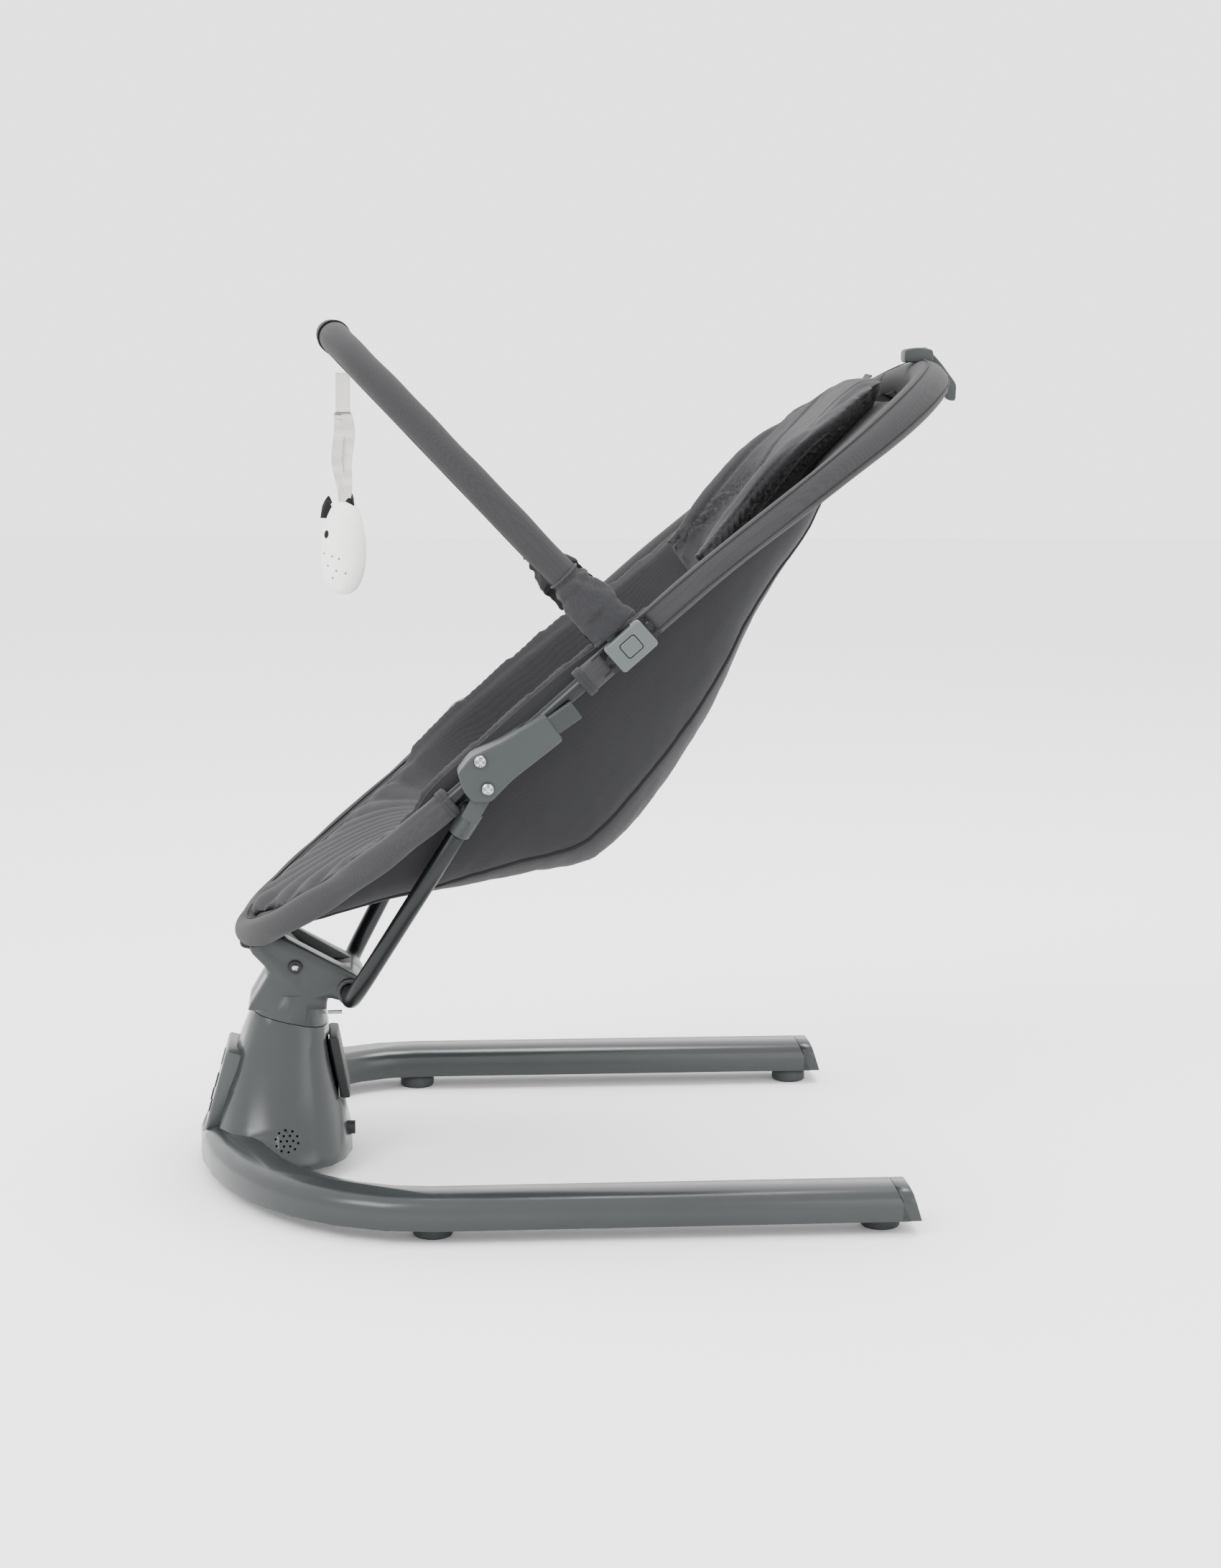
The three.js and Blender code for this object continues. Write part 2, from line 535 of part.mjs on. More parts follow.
const STRAIGHT_START = v3(0, -110, 344);
const straightAlong = v3(0, 50 + 110, 487 - 344).normalize();
const straightRise = v3(0, -straightAlong.z, straightAlong.y);
const alongTube = (distance, rise = 0, x = 0) => STRAIGHT_START.clone()
  .addScaledVector(straightAlong, distance)
  .addScaledVector(straightRise, rise)
  .setX(x);
const stationOf = (y) => {
  const hit = steps(400).find((t) => ringPath.getPointAt(t).x >= y);
  return hit * RING_LENGTH;
};
const FOOT_SLEEVE_END = stationOf(-124);
const HEAD_SLEEVE_START = stationOf(-10);

// Block along the straight side tube: distances along and across the tube in the side view.
function tubeBlock(from, to, low, high, x0, x1, radius = 1, bevel = 0) {
  const corners = rectangle(from, to, low, high).map(({ x, y }) => {
    const p = alongTube(x, y);
    return v2(p.y, p.z);
  });
  return sidePlate(corners, x0, x1, radius, bevel);
}

const CLIP_ALONG = v3(0, CLIP.y, CLIP.z).sub(STRAIGHT_START).dot(straightAlong);

piece('seat_ring', sweep(ringLoop(), SEAT_UP, circle(RING.tube, 8), true), TUBE_GREY);
piece('foot_sleeve', sleeveAround(FOOT_SLEEVE_END, true), FABRIC);
const clipNotches = [[162, 190], [-190, -162]].map(([x0, x1]) => (
  tubeBlock(CLIP_ALONG - 22, CLIP_ALONG + 22, -9.5, 9.5, x0, x1)
));
piece('head_sleeve', cut(sleeveAround(HEAD_SLEEVE_START, false), ...clipNotches), FABRIC);

// Plastic block under the ring's foot end that carries the seat hinge.
function seatFootHinge() {
  const block = sidePlate([v2(-292, 206), v2(-290, 189), v2(-254, 181), v2(-252, 171), v2(-243, 167.5),
    v2(-233.5, 171), v2(-232, 182), v2(-258, 208), v2(-266, 216)], -12.5, 12.5, 3, 1.2);
  const aboveRing = sideBlock([v2(-296, 196), v2(-262, 213), v2(-262, 240), v2(-296, 240)], 30);
  return cut(block, sweep(ringArc(70, true), SEAT_UP, circle(RING.sleeve + 0.8, 10)),
    crossRod(NECK.pinHole, RECLINE, -40, 40, 12), aboveRing);
}
piece('seat_foot_hinge', seatFootHinge(), DARK_PLASTIC);

// ---------- soft seat: outer cover, padded liner and headrest ----------
const belly = new THREE.SplineCurve([v2(-259, 210), v2(-205, 226), v2(-140, 244), v2(-60, 258), v2(0, 268),
  v2(28, 286), v2(60, 322), v2(90, 366), v2(118, 418), v2(140, 472), v2(160, 510), v2(182, 545), v2(198, 582),
  v2(226, 614), v2(284, 658)]);
const SEAT = { start: 30, end: RING_LENGTH - 26, clear: RING.sleeve + 3.5, taper: 0.2, spans: 15 };

// A setting that changes along the seat: its values at successive stations, and nothing elsewhere.
const byStation = (first, values) => (t) => values[Math.round(t * SEAT.spans) - first] ?? 0;

// One cross-section of a trough between the ring and the belly, as a closed band.
function troughBand(t, settings) {
  const { inset, gap, thickness, power = 0.5, half = Infinity } = settings;
  const rise = settings.wing ? settings.wing(t) : settings.rise;
  const lean = settings.lean ? settings.lean(t) : 0;
  const padding = settings.padding ? settings.padding(t) : 0;
  const s = SEAT.start + (SEAT.end - SEAT.start) * t;
  const top = ringPoint(s, 0);
  const low = belly.getPointAt(t);
  const down = v3(0, low.x - top.y, low.y - top.z);
  const depth = down.length() - gap;
  down.normalize();
  const width = Math.min(ringWidth(s, SEAT.clear + inset), half);
  const side = (shrink, reach) => steps(8).map((k) => {
    const angle = (k - 0.5) * Math.PI;
    const deep = signedPower(Math.cos(angle), power);
    const across = signedPower(Math.sin(angle), power) * (1 - SEAT.taper * deep);
    const fall = -rise + (reach + rise) * deep;
    const point = top.clone().addScaledVector(down, fall).setX((width - shrink) * across);
    return point.add(v3(0, lean * Math.max(0, -fall) * (1 - deep), 0));
  });
  return [...side(0, depth), ...side(thickness, depth - thickness - padding).reverse()];
}

// All the soft layers share the same stations along the seat, so their facets stay parallel.
const trough = (first, last, settings) => loft(steps(last - first)
  .map((t) => troughBand((first + (last - first) * t) / SEAT.spans, settings)));

const COVER = { inset: 0, gap: 0, rise: 0, thickness: 4 };
const LINER = { inset: 5.5, gap: 5.5, rise: 9, thickness: 12, padding: byStation(1, [0, 16, 34, 30]) };
const HEADREST = {
  inset: 28,
  gap: 20,
  thickness: 24,
  power: 0.7,
  half: 108,
  wing: byStation(10, [14, 26, 40, 46, 50]),
  lean: byStation(10, [0, 0, 0, 0.15, 0.65]),
};
piece('seat_cover', trough(0, 15, COVER), DARK_FABRIC);
piece('seat_liner', trough(1, 14, LINER), FABRIC);
piece('headrest', trough(10, 14, HEADREST), FABRIC);

// ---------- harness on the liner ----------
// Middle of the liner's upper face, raised by a lift.
function linerPoint(t, lift) {
  const top = ringPoint(SEAT.start + (SEAT.end - SEAT.start) * t, 0);
  const low = belly.getPointAt(t);
  const down = v3(0, low.x - top.y, low.y - top.z);
  return top.addScaledVector(down.clone().normalize(), down.length() - LINER.gap - LINER.thickness - lift);
}
const beltUp = linerPoint(0.5, 10).sub(linerPoint(0.5, 0)).normalize();
const crotchLine = steps(6).map((t) => linerPoint(0.33 + 0.12 * t, 9));
piece('crotch_strap', sweep(crotchLine, beltUp, rectangle(-14, 14, -1, 1)), DARK_FABRIC);
const buckleMiddle = linerPoint(0.487, 13);
const beltFrame = new THREE.Matrix4().makeBasis(v3(1, 0, 0), beltUp.clone().cross(v3(1, 0, 0)), beltUp)
  .setPosition(buckleMiddle);
function buckleShape(half, low, high, bevel) {
  const deep = half * 0.95;
  return new THREE.ExtrudeGeometry(roundedShape(rectangle(-half, half, -deep, deep), half * 0.5), {
    depth: high - low - 2 * bevel,
    curveSegments: 2,
    bevelEnabled: bevel > 0,
    bevelThickness: bevel,
    bevelSize: bevel,
    bevelOffset: -bevel,
    bevelSegments: 1,
  }).translate(0, 0, low + bevel).applyMatrix4(beltFrame);
}
piece('harness_buckle', cut(buckleShape(20, -5, 6, 1.5), buckleShape(9.3, 1.4, 9, 0)), DARK_PLASTIC);
piece('buckle_button', buckleShape(9, 3.6, 7.6, 0.8), CLIP_GREY);
for (const [name, sign] of SIDES) {
  const waist = steps(8).map((t) => {
    const angle = Math.asin((0.235 + 0.745 * Math.sin((t * Math.PI) / 2)) ** 2);
    const top = ringPoint(SEAT.start + (SEAT.end - SEAT.start) * 0.487, 0);
    const low = linerPoint(0.487, 8);
    const down = low.clone().sub(top);
    const deep = signedPower(Math.cos(angle), 0.5);
    const side = signedPower(Math.sin(angle), 0.5) * (1 - SEAT.taper * deep);
    return top.addScaledVector(down, deep).setX(118 * side);
  });
  const across = buckleMiddle.clone().sub(linerPoint(0.48, 13)).normalize();
  piece(`waist_strap_${name}`, mirrored(sweep(waist, across, rectangle(-1, 1, -12, 12)), sign), DARK_FABRIC);
}

// ---------- leg tube ----------
const legDirection = v3(0, BRACKET_PIVOT.y - TUBE_PIVOT.y, BRACKET_PIVOT.z - TUBE_PIVOT.z).normalize();
const legReach = Math.hypot(BRACKET_PIVOT.y - TUBE_PIVOT.y, BRACKET_PIVOT.z - TUBE_PIVOT.z);
const legPoint = (x, reach) => v3(x, TUBE_PIVOT.y, TUBE_PIVOT.z).addScaledVector(legDirection, reach);
const armSlope = (LEG.topX - LEG.armX) / (legReach - LEG.armReach);
const armX = (reach) => LEG.armX + armSlope * (reach - LEG.armReach);
const legUp = v3(1, 0, 0).cross(legDirection);

// Place in the side view, along the arms of the leg tube and across them.
function legCorner(reach, across) {
  const p = legPoint(0, reach).addScaledVector(legUp, across);
  return v2(p.y, p.z);
}

function legTube() {
  const bend = new THREE.QuadraticBezierCurve3(legPoint(LEG.bottomHalf, 0), legPoint(LEG.bendX, 0),
    legPoint(LEG.armX, LEG.armReach));
  const near = [legPoint(45, 0), ...bend.getPoints(5), legPoint(armX(193), 193)];
  const far = near.slice().reverse().map((p) => v3(-p.x, p.y, p.z));
  return sweep([...far, ...near], legUp, circle(LEG.radius, 8));
}
piece('leg_tube', legTube(), TUBE_GREY);

const BRACKET = { inner: 147, outer: 180, slot0: 168, slot1: 175.4, screwHole: 2.4, looseHole: 3.4 };

function tubeEnd() {
  const socket = rod(9.8, legPoint(armX(180), 180), legPoint(armX(203), 203), 12);
  const tongue = sidePlate([legCorner(194, -7), legCorner(226, -7), legCorner(232, -2.5), legCorner(232, 2.5),
    legCorner(226, 7), legCorner(194, 7)], BRACKET.slot0 + 1.2, BRACKET.slot1 - 0.8, 2, 0);
  const tubeHole = rod(LEG.radius + 0.6, legPoint(armX(170), 170), legPoint(armX(194), 194), 10);
  return cut(join(socket, tongue), tubeHole, crossRod(BRACKET.looseHole, BRACKET_PIVOT, 150, 190, 10));
}

// ---------- hinge brackets on the side tubes ----------
const BRACKET_OUTLINE = [
  v2(-110, 364), v2(-105, 349), v2(-97, 340), v2(-83, 341.5), v2(-73, 352), v2(-66, 359),
  v2(-25.5, 391), v2(-40, 411.5), v2(-74, 390), v2(-99, 378),
];
const UPPER_SCREW = { y: -92, z: 374 };
const buttonAlong = v3(0, 0.815, 0.579);
const BUTTON = { y: -24.5, z: 408.5 };

function buttonBlock(from, to, half, x0, x1, bevel) {
  const across = v3(0, -buttonAlong.z, buttonAlong.y);
  const corners = rectangle(from, to, -half, half).map(({ x, y }) => {
    const p = v3(0, BUTTON.y, BUTTON.z).addScaledVector(buttonAlong, x).addScaledVector(across, y);
    return v2(p.y, p.z);
  });
  return sidePlate(corners, x0, x1, 1.5, bevel);
}

function hingeBracket() {
  const slotCorners = rectangle(186, 235, -10, 10).map(({ x, y }) => legCorner(x, y));
  const slot = sidePlate(slotCorners, BRACKET.slot0, BRACKET.slot1, 6, 0);
  return cut(sidePlate(BRACKET_OUTLINE, BRACKET.inner, BRACKET.outer, 3, 1.2),
    rod(RING.tube + 1, alongTube(-20, 0, RING.halfWidth), alongTube(140, 0, RING.halfWidth), 10), slot,
    crossRod(BRACKET.screwHole, BRACKET_PIVOT, 140, 190, 8),
    crossRod(BRACKET.screwHole, UPPER_SCREW, 140, 190, 8),
    buttonBlock(-30, 20, 8.4, 168.2, 178.6, 0));
}

function bracketScrew(centre) {
  const profile = [v2(0, 0), v2(2, 0), v2(2, 30), v2(5.2, 30), v2(5, 31.4), v2(3.4, 32.6), v2(0, 33)];
  return new THREE.LatheGeometry(profile, 10).rotateZ(-Math.PI / 2).translate(150.4, centre.y, centre.z);
}

for (const [name, sign] of SIDES) {
  piece(`tube_end_${name}`, mirrored(tubeEnd(), sign), BRACKET_GREY);
  piece(`hinge_bracket_${name}`, mirrored(hingeBracket(), sign), BRACKET_GREY);
  piece(`pivot_screw_${name}`, mirrored(bracketScrew(BRACKET_PIVOT), sign), STEEL);
  piece(`clamp_screw_${name}`, mirrored(bracketScrew(UPPER_SCREW), sign), STEEL);
  piece(`recline_button_${name}`, mirrored(buttonBlock(-20, 12, 8, 168.5, 178.2, 1), sign), DARK_PLASTIC);
}

// ---------- toy bar and its clips ----------
const barUp = v3(0, BAR.tiltY, BAR.tiltZ);
const barNormal = v3(1, 0, 0).cross(barUp);
const barPoint = (x, reach) => v3(x, CLIP.y, CLIP.z).addScaledVector(barUp, reach);

function barLine(startReach) {
  const power = 2 / BAR.power;
  const bendReach = 120;
  const arch = steps(8).map((t) => {
    const angle = (t * Math.PI) / 2;
    return barPoint(BAR.halfWidth * Math.cos(angle) ** power,
      bendReach + (BAR.reach - bendReach) * Math.sin(angle) ** power);
  });
  const near = [barPoint(BAR.halfWidth, startReach), ...arch];
  return [...near, ...near.slice(0, -1).reverse().map((p) => v3(-p.x, p.y, p.z))];
}

function toyBarFrame() {
  const strap = (reach0, reach1, half) => rectangle(reach0, reach1, -half, half).map(({ x, y }) => {
    const p = barPoint(0, x).addScaledVector(barNormal, y);
    return v2(p.y, p.z);
  });
  const lug = sidePlate(strap(-11, 56, 11), 173.2, 178.6, 9, 0);
  const neckPiece = sidePlate(strap(41, 56, 6), 160.5, 175, 1, 0);
  const hole = crossRod(5.4, CLIP, 160, 190, 12);
  const end = cut(join(lug, neckPiece), hole);
  return join(sweep(barLine(43), barNormal, circle(BAR.core, 6)), end, flipX(end));
}

function sideClip() {
  const plate = tubeBlock(CLIP_ALONG - 18.5, CLIP_ALONG + 18.5, -13, 13, 179.2, 188, 3, 1.2);
  const saddle = tubeBlock(CLIP_ALONG - 14, CLIP_ALONG + 14, -8.5, 8.5, 167.6, 172.7, 2, 0);
  return cut(join(plate, crossRod(5, CLIP, 172, 180, 12), saddle),
    tubeBlock(CLIP_ALONG - 7.8, CLIP_ALONG + 7.8, -6.8, 6.8, 181.5, 195, 2, 0));
}

piece('toy_bar_frame', toyBarFrame(), TUBE_GREY);
piece('toy_bar_cover', cut(sweep(barLine(62), barNormal, circle(BAR.cover, 8)),
  sweep(barLine(55), barNormal, circle(BAR.core + 1.5, 6))), FABRIC);
for (const [name, sign] of SIDES) {
  piece(`side_clip_${name}`, mirrored(sideClip(), sign), CLIP_GREY);
  const button = tubeBlock(CLIP_ALONG - 7.4, CLIP_ALONG + 7.4, -6.4, 6.4, 184, 188.7, 2, 0.5);
  piece(`clip_button_${name}`, mirrored(button, sign), CLIP_GREY);
}

// ---------- hanging toys ----------
const toyPivot = barPoint(0, TOY.barReach).add(v3(0, 0, -TOY.drop));
for (const [name, sign] of SIDES) {
  const x = sign * TOY.x;
  const top = toyPivot.z - 3;
  const low = toyPivot.z - TOY.ribbon;
  const ribbon = box(x - 1, x + 1, toyPivot.y - 6, toyPivot.y + 6, low - 4, top);
  const head = new THREE.SphereGeometry(1, 12, 8).rotateX(Math.PI / 2)
    .scale(TOY.radiusX, TOY.radiusY, TOY.radiusZ)
    .translate(x, toyPivot.y, low - TOY.radiusZ);
  piece(`toy_${name}`, join(head, ribbon), TOY_WHITE);
}

// ---------- clip at the head end ----------
const HEAD_CLIP = { y: 297, z: 701 };
const headSleeve = (gap) => sweep(ringArc(RING_LENGTH - 60, false), SEAT_UP, circle(RING.sleeve + gap, 12));
const CLIP_SIDE = [v2(279, 693), v2(279, 704), v2(291, 706), v2(304, 704), v2(304, 693)];
const LEVER_SIDE = [
  v2(289.5, 705), v2(299, 706.5), v2(312, 693), v2(326, 675), v2(325.5, 660),
  v2(317, 662), v2(313, 676), v2(304, 688.5), v2(301, 694.5), v2(291, 696.5),
];

function headClip() {
  const leverRoom = box(-4.4, 4.4, 286, 320, 680, 720);
  const block = cut(sidePlate(CLIP_SIDE, -9, 9, 3, 0.8), headSleeve(0.5), leverRoom);
  return join(block, crossRod(2, HEAD_CLIP, -9, 9, 12));
}

piece('head_clip', headClip(), CLIP_GREY);
const lever = sidePlate(LEVER_SIDE, -4, 4, 3, 0.8);
piece('head_clip_lever', cut(lever, crossRod(2.3, HEAD_CLIP, -20, 20, 12), headSleeve(0.8)), CLIP_GREY);

export default swing;
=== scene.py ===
"""Looks of the baby swing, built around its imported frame. Metres, +Z up, the seat's head end towards +Y."""
import json
import math

import bmesh
import bpy
import numpy as np
from mathutils import Matrix, Vector
from mathutils.bvhtree import BVHTree

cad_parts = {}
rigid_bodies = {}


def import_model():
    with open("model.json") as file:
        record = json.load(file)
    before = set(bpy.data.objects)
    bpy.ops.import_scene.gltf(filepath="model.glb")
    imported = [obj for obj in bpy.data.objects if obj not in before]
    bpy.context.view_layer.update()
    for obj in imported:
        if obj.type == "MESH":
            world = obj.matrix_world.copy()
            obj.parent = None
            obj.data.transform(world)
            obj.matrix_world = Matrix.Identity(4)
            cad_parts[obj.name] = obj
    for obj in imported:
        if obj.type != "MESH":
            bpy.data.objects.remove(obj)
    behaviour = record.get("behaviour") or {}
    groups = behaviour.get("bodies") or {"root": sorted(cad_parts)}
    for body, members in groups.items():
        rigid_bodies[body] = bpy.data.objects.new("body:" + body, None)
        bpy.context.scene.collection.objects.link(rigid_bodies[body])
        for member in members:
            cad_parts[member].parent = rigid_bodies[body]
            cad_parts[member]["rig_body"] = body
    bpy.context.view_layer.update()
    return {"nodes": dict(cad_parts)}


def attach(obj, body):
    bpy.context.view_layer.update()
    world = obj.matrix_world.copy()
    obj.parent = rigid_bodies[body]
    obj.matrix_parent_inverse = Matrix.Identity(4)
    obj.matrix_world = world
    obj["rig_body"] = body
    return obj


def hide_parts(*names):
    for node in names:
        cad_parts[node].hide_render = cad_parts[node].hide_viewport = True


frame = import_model()
MM = 0.001
SIDES = (("left", 1), ("right", -1))


def placed(data, name):
    item = bpy.data.objects.new(name, data)
    bpy.context.scene.collection.objects.link(item)
    return item


# ---------- camera ----------
def place_camera():
    yaw, pitch, roll = 0.09926, 0.15106, 0.00947
    forward = Vector((-math.cos(yaw) * math.cos(pitch), math.sin(yaw) * math.cos(pitch), -math.sin(pitch)))
    level = Vector((math.sin(yaw), math.cos(yaw), 0))
    upright = level.cross(forward)
    right = level * math.cos(roll) + upright * math.sin(roll)
    up = upright * math.cos(roll) - level * math.sin(roll)
    data = bpy.data.cameras.new("camera")
    data.lens = 61.8
    camera = placed(data, "camera")
    camera.matrix_world = Matrix((right, up, -forward)).transposed().to_4x4()
    camera.location = (2.305, -0.1991, 0.6806)
    bpy.context.scene.camera = camera


place_camera()


# ---------- paints ----------
class Tap:
    """An output of a paint's nodes, which takes part in sums and products."""

    def __init__(self, paint, socket):
        self.paint, self.socket = paint, socket

    def math(self, operation, first, second):
        return self.paint.node("ShaderNodeMath", {"operation": operation}, {0: first, 1: second})

    def __add__(self, other):
        return self.math("ADD", self, other)

    def __mul__(self, other):
        return self.math("MULTIPLY", self, other)

    __radd__, __rmul__ = __add__, __mul__


class Paint:
    """A material whose shader is fed by expressions. Keyword arguments are the shader's fixed values."""

    def __init__(self, name, **fixed):
        self.material = bpy.data.materials.new(name)
        self.material.use_nodes = True
        self.tree = self.material.node_tree
        self.shader = self.tree.nodes["Principled BSDF"]
        self.place = self.node("ShaderNodeTexCoord", out="Object")
        for socket, value in fixed.items():
            self.shader.inputs[socket.replace("_", " ")].default_value = value

    def node(self, kind, settings=None, sockets=None, out=0):
        made = self.tree.nodes.new(kind)
        for key, value in (settings or {}).items():
            setattr(made, key, value)
        for key, value in (sockets or {}).items():
            self.feed(made.inputs[key], value)
        return Tap(self, made.outputs[out])

    def feed(self, socket, value):
        if isinstance(value, Tap):
            self.tree.links.new(value.socket, socket)
        else:
            socket.default_value = value

    def noise(self, scale, detail=2.0, rough=0.5):
        return self.node("ShaderNodeTexNoise", None,
                         {"Vector": self.place, "Scale": scale, "Detail": detail, "Roughness": rough})

    def stretched(self, kind, scale, out=0, **sockets):
        """A texture whose grain differs in the three directions."""
        place = self.node("ShaderNodeVectorMath", {"operation": "MULTIPLY"}, {0: self.place, 1: scale})
        return self.node(kind, None, {"Vector": place, "Scale": 1.0, **sockets}, out)

    def wave(self, pitch, direction):
        """Threads or ribs a given distance apart, in metres."""
        return self.node("ShaderNodeTexWave", {"bands_direction": direction},
                         {"Vector": self.place, "Scale": 0.314 / pitch, "Distortion": 0.6, "Detail": 1.0})

    def tint(self, value, color, low, high, spread=0.15):
        """The base colour, between a darker and a lighter shade as the value runs over its middle part."""
        part = self.node("ShaderNodeMapRange", None,
                         {"Value": value, "From Min": 0.5 - spread, "From Max": 0.5 + spread})
        self.set("Base Color", self.node("ShaderNodeMix", {"data_type": "RGBA"}, {
            "Factor": part, 6: (*shade(color, low), 1), 7: (*shade(color, high), 1)}, out=2))

    def bump(self, height, distance, strength=1.0):
        self.feed(self.shader.inputs["Normal"], self.node(
            "ShaderNodeBump", None, {"Height": height, "Distance": distance, "Strength": strength}))

    def set(self, socket, value):
        self.feed(self.shader.inputs[socket], value)


def srgb(code, depth=0.25):
    """Linear colour of a six-digit code, deepened for the bright studio."""
    parts = [int(code[i:i + 2], 16) / 255 for i in (0, 2, 4)]
    return tuple(depth * (p / 12.92 if p <= 0.04045 else ((p + 0.055) / 1.055)**2.4) for p in parts)


def shade(color, factor):
    return tuple(min(1.0, c * factor) for c in color)


def moulded_plastic(name, code, roughness):
    """Moulded plastic: faint cloudiness in the colour, fine spark-eroded grain, small changes of gloss."""
    paint = Paint(name, IOR=1.48, Specular_IOR_Level=0.38)
    paint.tint(paint.noise(9, 3), srgb(code, 0.21), 0.93, 1.07)
    paint.set("Roughness", paint.noise(38, 4, 0.6) * 0.16 + (roughness - 0.08))
    paint.bump(paint.noise(1500, 2) * 0.7 + paint.noise(420, 1) * 0.3, 0.00006)
    return paint.material


def woven_cloth(name, code, pitch=0.0011, contrast=0.12, depth=0.00012, sheen=0.06, roughness=0.92):
    """Plain weave in melange yarn: crossed threads, flecks of lighter and darker fibre and a soft bloom."""
    paint = Paint(name, Sheen_Weight=sheen, Sheen_Roughness=0.5, IOR=1.4, Specular_IOR_Level=0.25)
    threads = paint.wave(pitch, "X") * 0.5 + paint.wave(pitch, "DIAGONAL") * 0.5
    fleck = paint.stretched("ShaderNodeTexNoise", (420, 1100, 1100), Detail=2.0)
    worn = paint.noise(14, 4, 0.6)
    paint.tint(fleck * 0.55 + threads * 0.25 + worn * 0.2, srgb(code), 1 - contrast, 1 + contrast, 0.12)
    paint.set("Roughness", worn * 0.1 + (roughness - 0.05))
    paint.bump(threads * 0.6 + fleck * 0.4, depth)
    return paint.material


def satin_metal(name, code, roughness, metallic, depth):
    """Drawn or plated metal: fine lines along the piece and slight clouding of the gloss."""
    paint = Paint(name, Metallic=metallic)
    paint.tint(paint.noise(25, 3), srgb(code, depth), 0.94, 1.05)
    lines = paint.stretched("ShaderNodeTexNoise", (900, 60, 60), Detail=3.0)
    paint.set("Roughness", lines * 0.12 + (roughness - 0.05))
    paint.bump(lines, 0.00002)
    return paint.material


def ribbed_webbing(name, code, depth=0.25):
    """Belt webbing: close ribs across the belt and a chalky yarn."""
    paint = Paint(name, Sheen_Weight=0.05, IOR=1.4, Specular_IOR_Level=0.25)
    ribs = paint.wave(0.0016, "X") * 0.5 + paint.wave(0.0016, "Z") * 0.5
    yarn = paint.noise(900, 2)
    paint.tint(ribs * 0.5 + yarn * 0.5, srgb(code, depth), 0.82, 1.15)
    paint.set("Roughness", yarn * 0.1 + 0.8)
    paint.bump(ribs * 0.8 + yarn * 0.2, 0.0002)
    return paint.material


def plush_cloth(name, code, depth=1.0):
    """Short brushed pile with tiny tufts."""
    paint = Paint(name, Sheen_Weight=0.1, Sheen_Roughness=0.4, IOR=1.35)
    tuft = paint.node("ShaderNodeTexVoronoi", None, {"Vector": paint.place, "Scale": 620.0})
    cloud = paint.noise(60, 3)
    paint.tint(tuft * 0.4 + cloud * 0.6, srgb(code, depth), 0.95, 1.03)
    paint.set("Roughness", cloud * 0.08 + 0.88)
    paint.bump(tuft * 0.7 + cloud * 0.3, 0.0003)
    return paint.material


def pebbled_rubber(name, code):
    """Matt rubber with a fine grain and a little dust."""
    paint = Paint(name, IOR=1.5)
    dust = paint.noise(45, 4, 0.65)
    paint.tint(dust, srgb(code), 0.9, 1.12)
    paint.set("Roughness", dust * 0.15 + 0.72)
    paint.bump(paint.noise(1100, 3), 0.00012)
    return paint.material


def etched_board(name, code):
    """Circuit board: dark lacquer with faint tracks under it."""
    paint = Paint(name, Coat_Weight=0.3)
    tracks = paint.stretched("ShaderNodeTexBrick", (260, 260, 260), "Fac",
                             Color1=(1, 1, 1, 1), Color2=(0, 0, 0, 1))
    paint.tint(tracks, srgb(code), 1, 1.6)
    paint.set("Roughness", paint.noise(80) * 0.15 + 0.3)
    paint.bump(tracks, 0.00005)
    return paint.material


BASE_GREY = moulded_plastic("base_grey", "5a6062", 0.24)
NECK_GREY = moulded_plastic("neck_grey", "5a6062", 0.36)
PANEL_GREY = moulded_plastic("panel_grey", "717778", 0.3)
BRACKET_GREY = moulded_plastic("bracket_grey", "5c6465", 0.46)
BUTTON_GREY = moulded_plastic("button_grey", "454d4f", 0.42)
CLIP_GREY = moulded_plastic("clip_grey", "959ea0", 0.3)
DARK_PLASTIC = moulded_plastic("charcoal_plastic", "2b2e30", 0.55)
GRIP_BLACK = moulded_plastic("inner_black", "121314", 0.7)
RUBBER = pebbled_rubber("foot_rubber", "555b5d")
TUBE_GREY = satin_metal("tube_grey", "4b4e50", 0.3, 0.75, 0.25)
ZINC = satin_metal("zinc", "d2d4d6", 0.24, 1.0, 0.6)
SEAT_CLOTH = woven_cloth("seat_cloth", "626264")
PANEL_CLOTH = woven_cloth("side_panel_cloth", "434348", 0.0009, 0.08, 0.00006, 0.05, 0.72)
STRIP_CLOTH = woven_cloth("bottom_strip_cloth", "5b5b5e")
PIPING_CLOTH = woven_cloth("piping_cloth", "333337", 0.0014, 0.1, 0.0001, 0.03, 0.7)
LINER_CLOTH = woven_cloth("liner_cloth", "606063", 0.0012, 0.12, 0.00014)
BAR_CLOTH = woven_cloth("toy_bar_cloth", "5d5d5f")
DARK_CLOTH = woven_cloth("boot_cloth", "56565a")
BELT = ribbed_webbing("harness_webbing", "3b3b3f")
LOOP_WEB = ribbed_webbing("toy_loop_webbing", "5a5a5e")
RIBBON = ribbed_webbing("toy_ribbon", "c9c6c0", 0.9)
PLUSH = plush_cloth("toy_plush", "f1f0ec")
EAR_CLOTH = plush_cloth("toy_black_felt", "1c1c1f", 0.5)
FELT_GREY = plush_cloth("toy_grey_felt", "8d8b88", 0.6)
BOARD = etched_board("board_green", "2e5b3c")


